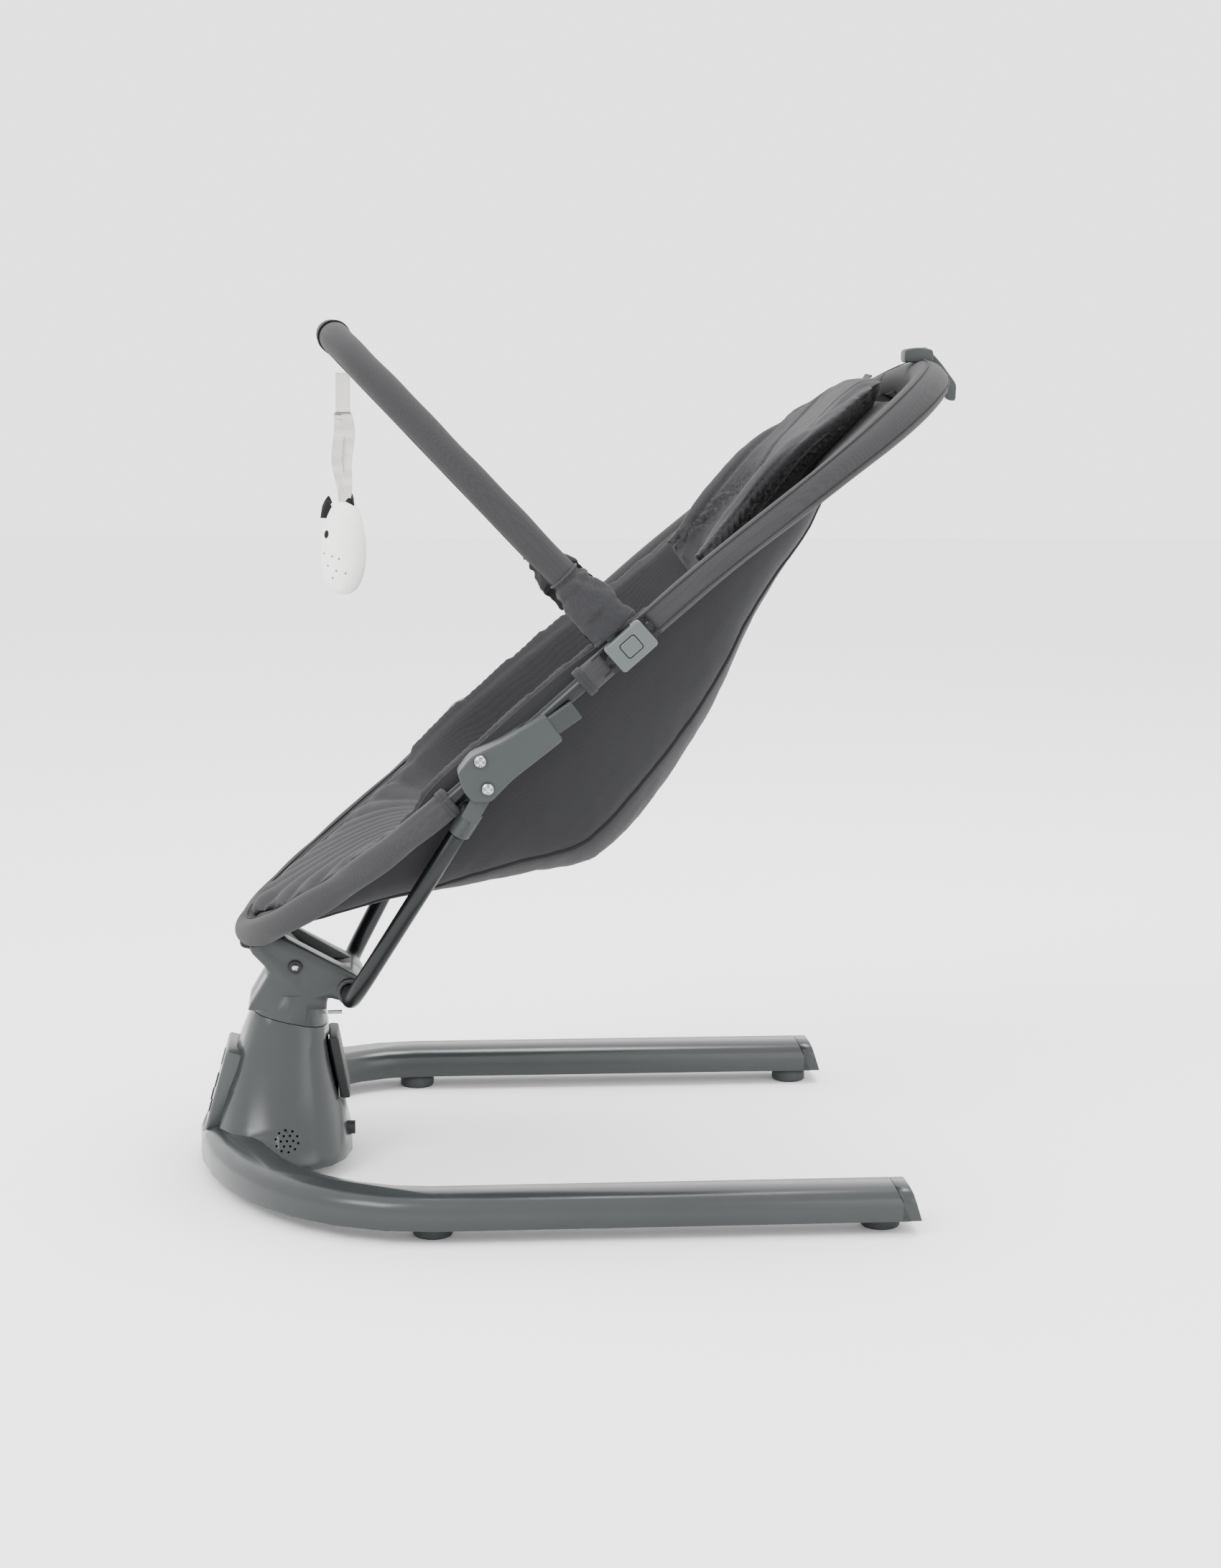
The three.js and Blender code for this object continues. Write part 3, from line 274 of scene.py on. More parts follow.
# ---------- mesh helpers ----------
def skin(name, grid, *materials, closed=False, stripe=None):
    """Quads round a grid's columns, with a fan over each open end. stripe gives each column's material."""
    grid = np.asarray(grid, float)
    rows, columns = grid.shape[:2]
    stripe = stripe or [0] * columns
    faces, slots = [], []
    for i in range(rows if closed else rows - 1):
        for j in range(columns):
            k, n = (j + 1) % columns, (i + 1) % rows
            faces.append((i * columns + j, i * columns + k, n * columns + k, n * columns + j))
        slots += stripe
    vertices = list(grid.reshape(-1, 3))
    for row, turn in () if closed else ((0, -1), (rows - 1, 1)):
        vertices.append(grid[row].mean(0))
        for j in range(columns):
            faces.append((row * columns + j, row * columns + (j + 1) % columns, len(vertices) - 1)[::turn])
        slots += stripe
    mesh = bpy.data.meshes.new(name)
    mesh.from_pydata([tuple(map(float, v)) for v in vertices], [], faces)
    mesh.update()
    mesh.shade_smooth()
    for material in materials:
        mesh.materials.append(material)
    mesh.polygons.foreach_set("material_index", slots)
    work = bmesh.new()
    work.from_mesh(mesh)
    bmesh.ops.recalc_face_normals(work, faces=work.faces)
    work.to_mesh(mesh)
    work.free()
    return placed(mesh, name)


def unit(vectors):
    vectors = np.asarray(vectors, float)
    return vectors / np.maximum(np.linalg.norm(vectors, axis=-1, keepdims=True), 1e-12)


def frames_along(points, up, closed=False):
    """Tangent, sideways and rising directions at each point of a line."""
    points = np.asarray(points, float)
    along = unit(np.roll(points, -1, 0) - np.roll(points, 1, 0))
    if not closed:
        along[0], along[-1] = unit(points[1] - points[0]), unit(points[-1] - points[-2])
    up = np.broadcast_to(np.asarray(up, float), points.shape)
    rise = unit(up - along * (up * along).sum(1, keepdims=True))
    return along, np.cross(along, rise), rise


def tube_grid(points, up, radius, sides=28, closed=False, flat=1.0):
    """Round or flattened tube; radius is a number, a value per point, or a table per point and side."""
    _, side, rise = frames_along(points, up, closed)
    angle = turns(sides)
    reach = np.broadcast_to(np.asarray(radius, float).reshape(-1, 1) if np.ndim(radius) < 2 else radius,
                            (len(points), sides))
    return (np.asarray(points)[:, None] + side[:, None] * (reach * np.cos(angle))[..., None]
            + rise[:, None] * (reach * np.sin(angle) * flat)[..., None])


def resample(points, count, closed=False):
    """The same line with evenly spaced points, rounded by a spline."""
    points = np.asarray(points, float)
    if closed:
        points = np.vstack([points, points[:1]])
    length = np.concatenate([[0], np.cumsum(np.linalg.norm(np.diff(points, axis=0), axis=1))])
    at = np.linspace(0, length[-1], count + 1 if closed else count)
    slope = np.gradient(points, length, axis=0)
    if closed:
        slope[0] = slope[-1] = (slope[0] + slope[-1]) / 2
    index = np.clip(np.searchsorted(length, at, "right") - 1, 0, len(length) - 2)
    span = (length[index + 1] - length[index])[:, None]
    t = (at - length[index])[:, None] / span
    a, b = points[index], points[index + 1]
    out = ((2 * t**3 - 3 * t**2 + 1) * a + (t**3 - 2 * t**2 + t) * span * slope[index]
           + (3 * t**2 - 2 * t**3) * b + (t**3 - t**2) * span * slope[index + 1])
    return out[:-1] if closed else out


def step(value, middle, width):
    """Nought before the middle and one after it, blended over a few widths."""
    return 1 / (1 + np.exp((middle - value) / width))


def ridge(offset, width):
    """One where the offset is nought, falling away over about a width."""
    return np.exp(-(offset / width)**2)


def turns(count):
    return np.arange(count) * 2 * np.pi / count


def folds(points, size, seed):
    """Smooth wandering height, between about -1 and 1, for creases and folds."""
    rng = np.random.default_rng(seed)
    total = np.zeros(points.shape[:-1])
    for octave in range(4):
        direction = unit(rng.normal(size=(3, 3)))
        phase = rng.uniform(0, 6.28, 3)
        for k in range(3):
            wave = points @ direction[k] * (6.28 / size) * 1.7**octave
            total += np.sin(wave + phase[k] + 0.8 * np.sin(wave * 0.37 + phase[k - 1])) / 1.8**octave
    return total / 4.5


def fit(piece, body, slot, *nodes):
    """Hands a piece to its body, in place of the frame's nodes if it replaces any. The slot is not used."""
    if nodes:
        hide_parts(*nodes)
    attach(piece, body)
    return piece


def apply_modifiers(piece):
    graph = bpy.context.evaluated_depsgraph_get()
    graph.update()
    made = bpy.data.meshes.new_from_object(piece.evaluated_get(graph))
    piece.modifiers.clear()
    piece.data = made


def softened(node, name, material, slot, bevel, angle=32, segments=2, smooth_angle=40):
    """The frame's own shape with its facets blended and its edges rounded, as the real moulding has."""
    source = frame["nodes"][node]
    mesh = source.data.copy()
    piece = placed(mesh, name)
    mesh.materials.clear()
    mesh.materials.append(material)
    work = bmesh.new()
    work.from_mesh(mesh)
    bmesh.ops.remove_doubles(work, verts=work.verts, dist=2e-5)
    bmesh.ops.dissolve_limit(work, angle_limit=math.radians(1.0), verts=work.verts, edges=work.edges)
    for face in work.faces:
        face.material_index = 0
    work.to_mesh(mesh)
    work.free()
    rounding = piece.modifiers.new("rounding", "BEVEL")
    rounding.width = bevel * MM
    rounding.segments = segments
    rounding.limit_method = "ANGLE"
    rounding.angle_limit = math.radians(angle)
    rounding.use_clamp_overlap = True
    apply_modifiers(piece)
    piece.data.shade_smooth()
    piece.data.set_sharp_from_angle(angle=math.radians(smooth_angle))
    return fit(piece, source["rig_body"], slot, node)


# ---------- lines of the seat, as the frame has them ----------
def bezier(a, b, c, count):
    t = np.linspace(0, 1, count)[:, None]
    return (1 - t)**2 * np.array(a) + 2 * t * (1 - t) * np.array(b) + t**2 * np.array(c)


RING_SIDE = np.vstack([
    bezier((-283, 204), (-177, 284), (-125, 330.6), 60),
    np.linspace((-125, 330.6), (50, 487), 40)[1:],
    bezier((50, 487), (139.4, 567), (297, 679), 80)[1:]]) * MM
RING_MARKS = np.concatenate([[0], np.cumsum(np.linalg.norm(np.diff(RING_SIDE, axis=0), axis=1))])
RING_LENGTH = RING_MARKS[-1]
HALF_WIDTH, FOOT_ROUND, HEAD_ROUND, HEAD_POWER = 0.160, 0.215, 0.195, 2.3
SLEEVE, TUBE = 0.012, 0.007
SEAT_UP = np.array([0, -0.66, 0.75])
SEAT_RISE = SEAT_UP / np.linalg.norm(SEAT_UP)


def ring_width(s, inset=0.0):
    s = np.asarray(s, float)
    half = HALF_WIDTH - inset
    foot = np.sqrt(np.clip(1 - ((FOOT_ROUND - s) / (FOOT_ROUND - inset))**2, 0, 1))
    reach = np.clip((s - (RING_LENGTH - HEAD_ROUND)) / (HEAD_ROUND - inset), 0, 1)
    head = (1 - reach**HEAD_POWER)**(1 / HEAD_POWER)
    return half * np.where(s < FOOT_ROUND, foot, head)


def ring_line(s):
    s = np.asarray(s, float)
    return np.stack([np.zeros_like(s), np.interp(s, RING_MARKS, RING_SIDE[:, 0]),
                     np.interp(s, RING_MARKS, RING_SIDE[:, 1])], -1)


def station_of(y):
    return float(np.interp(y, RING_SIDE[:, 0], RING_MARKS))


def ring_half():
    """Distances from the foot to the head, closer together at both round ends, and the points there."""
    foot = FOOT_ROUND * (1 - np.cos(np.linspace(0, np.pi / 2, 40)))
    head = RING_LENGTH - HEAD_ROUND + HEAD_ROUND * np.sin(np.linspace(0, np.pi / 2, 50))**(2 / HEAD_POWER)
    s = np.concatenate([foot, np.linspace(FOOT_ROUND, RING_LENGTH - HEAD_ROUND, 30)[1:-1], head])
    points = ring_line(s)
    points[:, 0] = ring_width(s)
    return s, points


def ring_arc(limit, through_foot, inset=0.0):
    """The ring's line through the foot or the head up to a limit on both sides, or a line inside it."""
    s, _ = ring_half()
    keep = s < limit if through_foot else s > limit
    inner = np.clip(s, inset, RING_LENGTH - inset)
    points = ring_line(inner)
    points[:, 0] = ring_width(inner, inset)
    end = ring_line([limit])
    end[:, 0] = ring_width(limit, inset)
    near = np.vstack([points[keep], end] if through_foot else [end, points[keep]])
    if not through_foot:
        near = near[::-1]
    far = near[1:][::-1] * [-1, 1, 1]
    return np.vstack([far, near])


BELLY = np.array([(-259, 210), (-205, 226), (-140, 244), (-60, 258), (0, 268), (28, 286), (60, 322),
                  (90, 366), (118, 418), (140, 472), (160, 510), (182, 545), (198, 582), (226, 614),
                  (284, 658)]) * MM


def belly_line(count=400):
    points = []
    last = len(BELLY) - 1
    for i in range(last):
        p0, p1, p2, p3 = BELLY[max(i - 1, 0)], BELLY[i], BELLY[i + 1], BELLY[min(i + 2, last)]
        t = np.linspace(0, 1, count // last, endpoint=False)[:, None]
        v0, v1 = (p2 - p0) / 2, (p3 - p1) / 2
        cubic, square = 2 * p1 - 2 * p2 + v0 + v1, -3 * p1 + 3 * p2 - 2 * v0 - v1
        points.append(cubic * t**3 + square * t**2 + v0 * t + p1)
    return np.vstack([*points, BELLY[-1:]])


BELLY_LINE = belly_line()
BELLY_MARKS = np.concatenate([[0], np.cumsum(np.linalg.norm(np.diff(BELLY_LINE, axis=0), axis=1))])
SEAT_START, SEAT_END, SEAT_CLEAR, TAPER = 0.030, RING_LENGTH - 0.026, SLEEVE + 0.0015, 0.2
STATIONS = 15  # the frame's troughs are set out in this many equal parts along the seat


def seat_frame(t):
    """Top middle of the seat at a fraction of its length, and the direction and depth down to the belly."""
    t = np.asarray(t, float)
    top = ring_line(SEAT_START + (SEAT_END - SEAT_START) * t)
    low = np.stack([np.zeros_like(t), np.interp(t * BELLY_MARKS[-1], BELLY_MARKS, BELLY_LINE[:, 0]),
                    np.interp(t * BELLY_MARKS[-1], BELLY_MARKS, BELLY_LINE[:, 1])], -1)
    down = low - top
    depth = np.linalg.norm(down, axis=-1)
    return top, down / depth[..., None], depth


def seat_width(t, inset=0.0):
    return ring_width(SEAT_START + (SEAT_END - SEAT_START) * np.asarray(t, float), SEAT_CLEAR + inset)


def seat_shell(t, angle, inset=0.0, gap=0.0, rise=0.0, power=0.5, half=1.0, lean=0.0):
    """Points of a trough hung in the ring: t along the seat, angle from one edge (-90) to the other."""
    t = np.asarray(t, float)
    angle = np.radians(np.asarray(angle, float))
    top, down, depth = seat_frame(t)
    width = np.minimum(seat_width(t, inset), half)
    rise = np.broadcast_to(np.asarray(rise, float), t.shape)
    reach = depth - gap
    deep = np.abs(np.cos(angle))**power
    across = np.sign(np.sin(angle)) * np.abs(np.sin(angle))**power * (1 - TAPER * deep)
    fall = -rise[:, None] + (reach + rise)[:, None] * deep[None]
    points = top[:, None] + down[:, None] * fall[..., None]
    points[..., 1] += np.broadcast_to(lean, t.shape)[:, None] * np.clip(-fall, 0, None) * (1 - deep)
    points[..., 0] = width[:, None] * across[None]
    return points


# ---------- seat ring, sleeves ----------
def build_ring_tube():
    _, near = ring_half()
    loop = resample(np.vstack([near, near[1:-1][::-1] * [-1, 1, 1]]), 260, closed=True)
    fit(skin("seat_ring_tube", tube_grid(loop, SEAT_UP, TUBE, 20, closed=True), TUBE_GREY, closed=True),
        "seat", "tube_metal", "seat_ring")


def sleeve_radius(count, sides, seed, ends):
    """Cloth over a tube: a long seam ridge, shallow pulls along it and gathers where it ends."""
    at = np.linspace(0, 1, count)[:, None]
    angle = turns(sides)[None]
    rng = np.random.default_rng(seed)
    table = np.full((count, sides), SLEEVE - 0.0004)
    near_end = np.exp(-np.minimum(at, 1 - at) / ends)
    for _ in range(5):
        lobes = rng.integers(5, 12)
        table += near_end * 0.00045 * np.sin(lobes * angle + rng.uniform(0, 6.28) + 9 * at)
    for _ in range(6):
        lobes, rate, phase = rng.integers(1, 4), rng.uniform(20, 70), rng.uniform(0, 6.28)
        table += 0.00022 * np.sin(lobes * angle + rate * at + phase)
    return table + 0.0007 * ridge(angle - 3.5, math.sqrt(0.02))


def cuff(name, centre, along):
    """Folded hem round a sleeve's end, with a stitched groove."""
    profile = [(-0.004, -0.0004), (-0.0036, 0.0006), (-0.0006, 0.0008), (0, 0.0003), (0.0006, 0.0008),
               (0.0036, 0.0006), (0.004, -0.0004)]
    points = [centre + along * at for at, _ in profile]
    fit(skin(name, tube_grid(points, SEAT_UP, [SLEEVE + rise for _, rise in profile], 32), DARK_CLOTH),
        "seat", "seat_fabric")


SLEEVE_ENDS = {"foot": station_of(-0.114), "head": station_of(-0.010)}


def plumper(line):
    """Padding that thickens the head sleeve above the seat's waist."""
    return 0.0042 * step(line[:, 1:2], 0.215, 0.022)


def build_sleeves():
    foot = resample(ring_arc(SLEEVE_ENDS["foot"], True), 300)
    head = resample(ring_arc(SLEEVE_ENDS["head"], False), 420)
    fit(skin("foot_sleeve_cloth", tube_grid(foot, SEAT_UP, sleeve_radius(300, 36, 3, 0.05), 36), SEAT_CLOTH),
        "seat", "seat_fabric", "foot_sleeve")
    tube = tube_grid(head, SEAT_UP, sleeve_radius(420, 36, 8, 0.02) + plumper(head), 36)
    fit(skin("head_sleeve_cloth", clip_opening(tube), SEAT_CLOTH), "seat", "seat_fabric", "head_sleeve")
    for line, label in ((foot, "foot"), (head, "head")):
        for end, inner, side in ((-1, -6, "left"), (0, 5, "right")):
            along = unit(line[end] - line[inner])
            cuff(f"{label}_sleeve_hem_{side}", line[end] - along * 0.004, along)
    for label, line, reach, cloth in (("foot", foot, 0.0120, PIPING_CLOTH),
                                      ("head", head, 0.0124 + plumper(head), DARK_CLOTH)):
        _, side, rise = frames_along(line, SEAT_UP)
        for where, angle in (("upper", 125), ("lower", 215)):
            a = math.radians(angle)
            seam = line + (side * math.cos(a) + rise * math.sin(a)) * reach
            fit(skin(f"{label}_sleeve_{where}_seam", tube_grid(seam[8:-8], SEAT_UP, 0.0006, 8), cloth),
                "seat", "seat_fabric")


CLIP = np.array([0, 0.027, 0.4675])  # middle of the side clips, which the toy bar turns about
STRAIGHT = unit(np.array([0, 0.160, 0.143]))  # the ring's straight part, which the clips lie along
ACROSS = np.array([0, -STRAIGHT[2], STRAIGHT[1]])


def clip_opening(tube):
    """Presses the sleeve in on its outer side where the clip sits, as an opening with a soft edge."""
    offset = tube - CLIP
    inside = (np.abs(offset @ STRAIGHT) < 0.024) & (np.abs(offset @ ACROSS) < 0.0115)
    out = tube.copy()
    outer = np.abs(out[..., 0])
    out[..., 0] = np.sign(out[..., 0]) * np.where(inside, np.minimum(outer, 0.1635), outer)
    return out


def build_pockets():
    """Dark pocket in each sleeve that the clip plugs into, a little longer than the clip's plate."""
    a = np.linspace(-1, 1, 41)
    half = 0.0088 * np.sqrt(np.clip(1 - a**6, 0.01, 1))
    centre = CLIP + STRAIGHT * (a * 0.0285)[:, None]
    corners = ((0.1615, -1), (0.1660, -0.9), (0.1668, 0), (0.1660, 0.9), (0.1615, 1))
    for name, sign in SIDES:
        grid = np.stack([centre + ACROSS * (half * up)[:, None] + [sign * x, 0, 0] for x, up in corners], 1)
        grid[..., 0] += -0.0006 * sign * (np.sin(a * 34) > 0)[:, None]
        fit(skin(f"clip_pocket_{name}", grid, GRIP_BLACK), "seat", "dark_plastic")


def build_bindings():
    """Flat binding that joins the seat's cloth to the sleeves all round."""
    for label, end, inset, radius, lift in (("foot", SLEEVE_ENDS["foot"], 0.0145, 0.0075, 0.0042),
                                            ("head", station_of(-0.008), 0.0125, 0.0050, 0.0)):
        line = resample(ring_arc(end, label == "foot", inset), 260) + SEAT_RISE * lift
        fit(skin(f"{label}_edge_binding", tube_grid(line, SEAT_UP, radius, 16, flat=0.5), DARK_CLOTH),
            "seat", "dark_fabric")


# ---------- outer shell of the seat ----------
PIPING_ANGLE = 47


def edge_rise(t):
    """The shell's hem stands up beside the bare tube between the sleeves."""
    s = SEAT_START + (SEAT_END - SEAT_START) * t
    return 0.0045 + 0.0125 * step(s, station_of(-0.135), 0.008) * step(-s, -station_of(0.02), 0.02)


def build_shell():
    rows = np.linspace(0, 1, 150)
    turn = np.linspace(-90, 90, 121)
    turn = np.sign(turn) * 90 * (np.abs(turn) / 90)**0.9
    outer = seat_shell(rows, turn, rise=edge_rise(rows))
    inner = seat_shell(rows, turn, inset=0.003, gap=0.003, rise=edge_rise(rows))
    normal = unit(outer - inner)
    slack = np.cos(np.radians(turn))[None]**0.5 * np.sin(np.pi * rows)[:, None]**0.6
    dents = 0.0010 + 0.0024 * folds(outer, 0.16, 5) + 0.0012 * folds(outer * [1, 1.6, 0.7], 0.05, 9)
    strip = ridge(np.abs(turn) - PIPING_ANGLE, 3.0)[None]
    outer = outer + normal * (dents * slack - 0.0012 * strip)[..., None]
    bottom = (np.abs((turn[1:] + turn[:-1]) / 2) < PIPING_ANGLE).astype(int)
    piece = skin("seat_shell", np.concatenate([outer, inner[:, ::-1]], 1), PANEL_CLOTH, STRIP_CLOTH,
                 stripe=[*bottom, 0, *([1] * len(bottom)), 0])
    fit(piece, "seat", "dark_fabric", "seat_cover")
    for name, sign in SIDES:
        line = resample(outer[3:-3, int(np.argmin(np.abs(turn - sign * PIPING_ANGLE)))], 200)
        fit(skin(f"shell_piping_{name}", tube_grid(line, (sign, 0, 0), 0.0022, 10), PIPING_CLOTH),
            "seat", "dark_fabric")


# ---------- padded pieces ----------
def puff(piece, voxel, pressure, cap):
    """Fills a closed cloth form with air: remesh, inflate, limit how far it swells, subdivide once."""
    remesh = piece.modifiers.new("remesh", "REMESH")
    remesh.mode = "VOXEL"
    remesh.voxel_size = voxel
    apply_modifiers(piece)
    rest = np.array([v.co for v in piece.data.vertices])
    cloth = piece.modifiers.new("cloth", "CLOTH")
    settings = cloth.settings
    settings.quality = 4
    settings.use_pressure = True
    settings.uniform_pressure_force = pressure
    settings.tension_stiffness = settings.compression_stiffness = 12
    settings.effector_weights.gravity = 0
    cloth.collision_settings.use_collision = False
    scene, steps = bpy.context.scene, 20
    cloth.point_cache.frame_start, cloth.point_cache.frame_end = 1, steps
    for number in range(1, steps + 1):
        scene.frame_set(number)
    graph = bpy.context.evaluated_depsgraph_get()
    shape = piece.evaluated_get(graph)
    moved = np.array([v.co for v in shape.data.vertices])
    piece.modifiers.clear()
    scene.frame_set(1)
    shift = moved - rest
    length = np.linalg.norm(shift, axis=1, keepdims=True)
    moved = rest + shift * np.minimum(1, cap / np.maximum(length, 1e-9))
    piece.data.vertices.foreach_set("co", moved.astype(np.float32).ravel())
    smooth = piece.modifiers.new("smooth", "SMOOTH")
    smooth.iterations = 2
    finer = piece.modifiers.new("finer", "SUBSURF")
    finer.levels = finer.render_levels = 1
    apply_modifiers(piece)
    piece.data.shade_smooth()


def move_out(piece, height):
    """Moves each vertex along its normal by a height worked out from its place, for seams and folds."""
    mesh = piece.data
    place = np.array([v.co for v in mesh.vertices])
    normal = np.array([v.normal for v in mesh.vertices])
    moved = place + normal * height(place, normal)[:, None]
    mesh.vertices.foreach_set("co", moved.astype(np.float32).ravel())
    mesh.update()


def along_seat(place):
    """Distance along the seat's ring of each place, from the foot."""
    s = np.linspace(0, RING_LENGTH, 400)
    line = ring_line(s)
    flat = place * [0, 1, 1]
    nearest = ((flat[:, None] - line[None])**2).sum(2).argmin(1)
    return s[nearest]


def liner_height(place, normal):
    """Pleats that fan over the leg rest, cross channels in the back and soft folds at the sides."""
    s = along_seat(place)
    inner = np.clip(normal @ SEAT_UP, 0, 1)
    reach = np.hypot(place[:, 0], 0.26 - s)
    fan = np.abs(np.sin(np.arctan2(place[:, 0], 0.26 - s) * np.pi / 0.155)) - 0.5
    fan *= np.clip(reach / 0.09 - 0.5, 0, 1)
    spacing = 0.075
    count = (s - 0.36) / spacing
    channel = ridge((count - np.round(count)) * spacing, 0.004) * (s > 0.33) * (s < 0.6)
    quilting = step(-s, -0.185, 0.014) * 0.0042 * fan - 0.0024 * channel * (np.abs(place[:, 0]) < 0.08)
    return inner * quilting + 0.0009 * folds(place, 0.09, 4)


def by_station(rows, first, values):
    """A setting given at successive stations of the frame's trough, blended in between."""
    shifts = np.linspace(-0.5, 0.5, 7)
    return np.mean([np.interp(rows * STATIONS + shift, np.arange(first, first + len(values)), values)
                    for shift in shifts], axis=0)


def pad_between(name, rows, near, far, voxel, pressure, cap, rim):
    """A pad between two trough surfaces, with rounded rims."""
    turn = np.linspace(-90, 90, 61)
    outer, inner = seat_shell(rows, turn, **far), seat_shell(rows, turn, **near)
    out = unit(outer[:, -1] - outer[:, -3]) * rim
    edge = [outer[:, -1] * (1 - f) + inner[:, -1] * f + out * math.sin(math.pi * f)
            for f in np.linspace(0, 1, 7)[1:-1]]
    other = [points * [-1, 1, 1] for points in edge[::-1]]
    loop = np.concatenate([outer, np.stack(edge, 1), inner[:, ::-1], np.stack(other, 1)], 1)
    piece = skin(name, loop, LINER_CLOTH)
    puff(piece, voxel, pressure, cap)
    return piece


def build_liner():
    rows = np.linspace(-0.028, 14.75 / STATIONS, 110)
    padding = by_station(rows, 0, [0.009, 0.021, 0.033, 0.042, 0.030, 0, 0])
    rise = edge_rise(rows) + 0.003
    near = dict(inset=0.0157 - 0.0177 * step(-rows, -0.08, 0.02), gap=0.0165 + padding, rise=rise)
    far = dict(inset=0.0062, gap=0.0066, rise=rise)
    piece = pad_between("seat_pad", rows, near, far, voxel=0.005, pressure=3.0, cap=0.0026, rim=0.005)
    move_out(piece, liner_height)
    fit(piece, "seat", "seat_fabric", "seat_liner")


WING_FIRST, WING_RISE = 10, [0.010, 0.022, 0.034, 0.040, 0.047, 0.05]
WING_LEAN = [0, 0, 0, 0.15, 0.65, 1.0]


def laid_on(piece, line):
    """The line brought onto the nearest places of a finished piece, then evened out."""
    mesh = piece.data
    tree = BVHTree.FromPolygons([v.co for v in mesh.vertices], [p.vertices[:] for p in mesh.polygons])
    found = np.array([tree.find_nearest(Vector(point))[0] for point in line])
    for _ in range(3):
        found[1:-1] = (found[:-2] + found[1:-1] * 2 + found[2:]) / 4
    return found


def headrest_height(place, normal):
    """A seam ridge near the wings' rims, a gathered elastic channel low on them and soft creases."""
    s = along_seat(place)
    above = (place - ring_line(s)) @ SEAT_RISE
    side = np.clip(np.abs(normal[:, 0]) * 1.6, 0, 1)
    crest = by_station((s - SEAT_START) / (SEAT_END - SEAT_START), WING_FIRST, WING_RISE)
    seam = ridge(above - crest + 0.007, 0.0014)
    gather = ridge(above - crest * 0.4, 0.006) * np.sin(s * 6.28 / 0.0125 + 30 * above / 0.01)
    middle = ridge(np.abs(place[:, 0]) - 0.045, 0.0026) * np.clip(normal @ SEAT_UP, 0, 1)
    return (-0.0026 * seam + 0.0022 * gather) * side - 0.0028 * middle + 0.0012 * folds(place, 0.06, 2)


def build_headrest():
    rows = np.linspace(WING_FIRST / STATIONS, 14.45 / STATIONS, 70)
    rise, lean = by_station(rows, WING_FIRST, WING_RISE), by_station(rows, WING_FIRST, WING_LEAN)
    wings = dict(rise=rise, power=0.7, lean=lean)
    near = dict(inset=0.046, gap=0.040, half=0.086, **wings)
    far = dict(inset=0.029, gap=0.021, half=0.105, **wings)
    piece = pad_between("headrest_pad", rows, near, far, voxel=0.005, pressure=4.0, cap=0.005, rim=0.003)
    move_out(piece, headrest_height)
    fit(piece, "seat", "seat_fabric", "headrest")
    for name, sign in SIDES:
        for label, angle in (("rim", 72), ("panel", 50)):
            line = seat_shell(rows, [sign * angle], **far)[3:-2, 0]
            cord = tube_grid(laid_on(piece, resample(line, 120)), SEAT_UP, 0.0012, 8)
            fit(skin(f"headrest_{label}_piping_{name}", cord, DARK_CLOTH), "seat", "seat_fabric")


# ---------- harness ----------
BELT_SECTION = [(-0.5, 0), (-0.49, 0.42), (-0.44, 0.5), (-0.4, 0.42), (0, 0.42), (0.4, 0.42), (0.44, 0.5),
                (0.49, 0.42), (0.5, 0), (0.49, -0.5), (0, -0.5), (-0.49, -0.5)]
LOOP_SECTION = [(-0.5, 0), (-0.45, 0.5), (0, 0.42), (0.45, 0.5), (0.5, 0), (0.45, -0.5), (0, -0.42),
                (-0.45, -0.5)]


def belt_grid(line, across, width, thick, closed=False):
    """Flat strap with rounded edges along a line."""
    line = np.asarray(line, float)
    along, _, _ = frames_along(line, (0, 0, 1), closed)
    across = np.broadcast_to(unit(across), line.shape)
    out = np.cross(along, across)
    section = LOOP_SECTION if closed else BELT_SECTION
    return np.stack([line + across * width * a + out * thick * b for a, b in section], 1)


def pad_point(t, lift):
    top, down, depth = seat_frame(np.atleast_1d(t))
    return top + down * (depth - 0.0175 - lift)[:, None]


def build_harness():
    crotch = pad_point(np.linspace(0.33, 0.45, 40), 0.009)
    fit(skin("crotch_belt", belt_grid(crotch, (1, 0, 0), 0.028, 0.0018), BELT),
        "seat", "dark_fabric", "crotch_strap")
    belt_up = unit(pad_point(0.5, 0.010) - pad_point(0.5, 0.0))[0]
    waist = 0.487
    across = unit(pad_point(waist, 0.013)[0] - pad_point(0.48, 0.013)[0])
    top, down, depth = seat_frame(np.array([waist]))
    angle = np.arcsin((0.235 + 0.745 * np.sin(np.linspace(0, np.pi / 2, 40)))**2)
    deep = np.cos(angle)**0.5
    for name, sign in SIDES:
        line = top + down * ((depth - 0.0255)[:, None] * deep[:, None])
        line[:, 0] = sign * 0.118 * np.sin(angle)**0.5 * (1 - TAPER * deep)
        fit(skin(f"waist_belt_{name}", belt_grid(line, across, 0.024, 0.0018), BELT),
            "seat", "dark_fabric", f"waist_strap_{name}")
        slider = line[17:25]
        along = unit(slider[-1] - slider[0])
        centre = slider.mean(0) + belt_up * 0.0012
        loop = [centre + along * a * 0.011 + across * b * 0.015
                for a, b in ((-1, -1), (-1, 1), (1, 1), (1, -1))]
        out = unit(np.cross(along, across)) * sign
        wire = tube_grid(resample(loop, 48, closed=True), out, 0.0016, 10, closed=True)
        fit(skin(f"belt_slider_{name}", wire, DARK_PLASTIC, closed=True), "seat", "dark_plastic")
    softened("harness_buckle", "buckle_body", DARK_PLASTIC, "dark_plastic", 0.8)
    softened("buckle_button", "buckle_release", CLIP_GREY, "clip_plastic", 0.5)


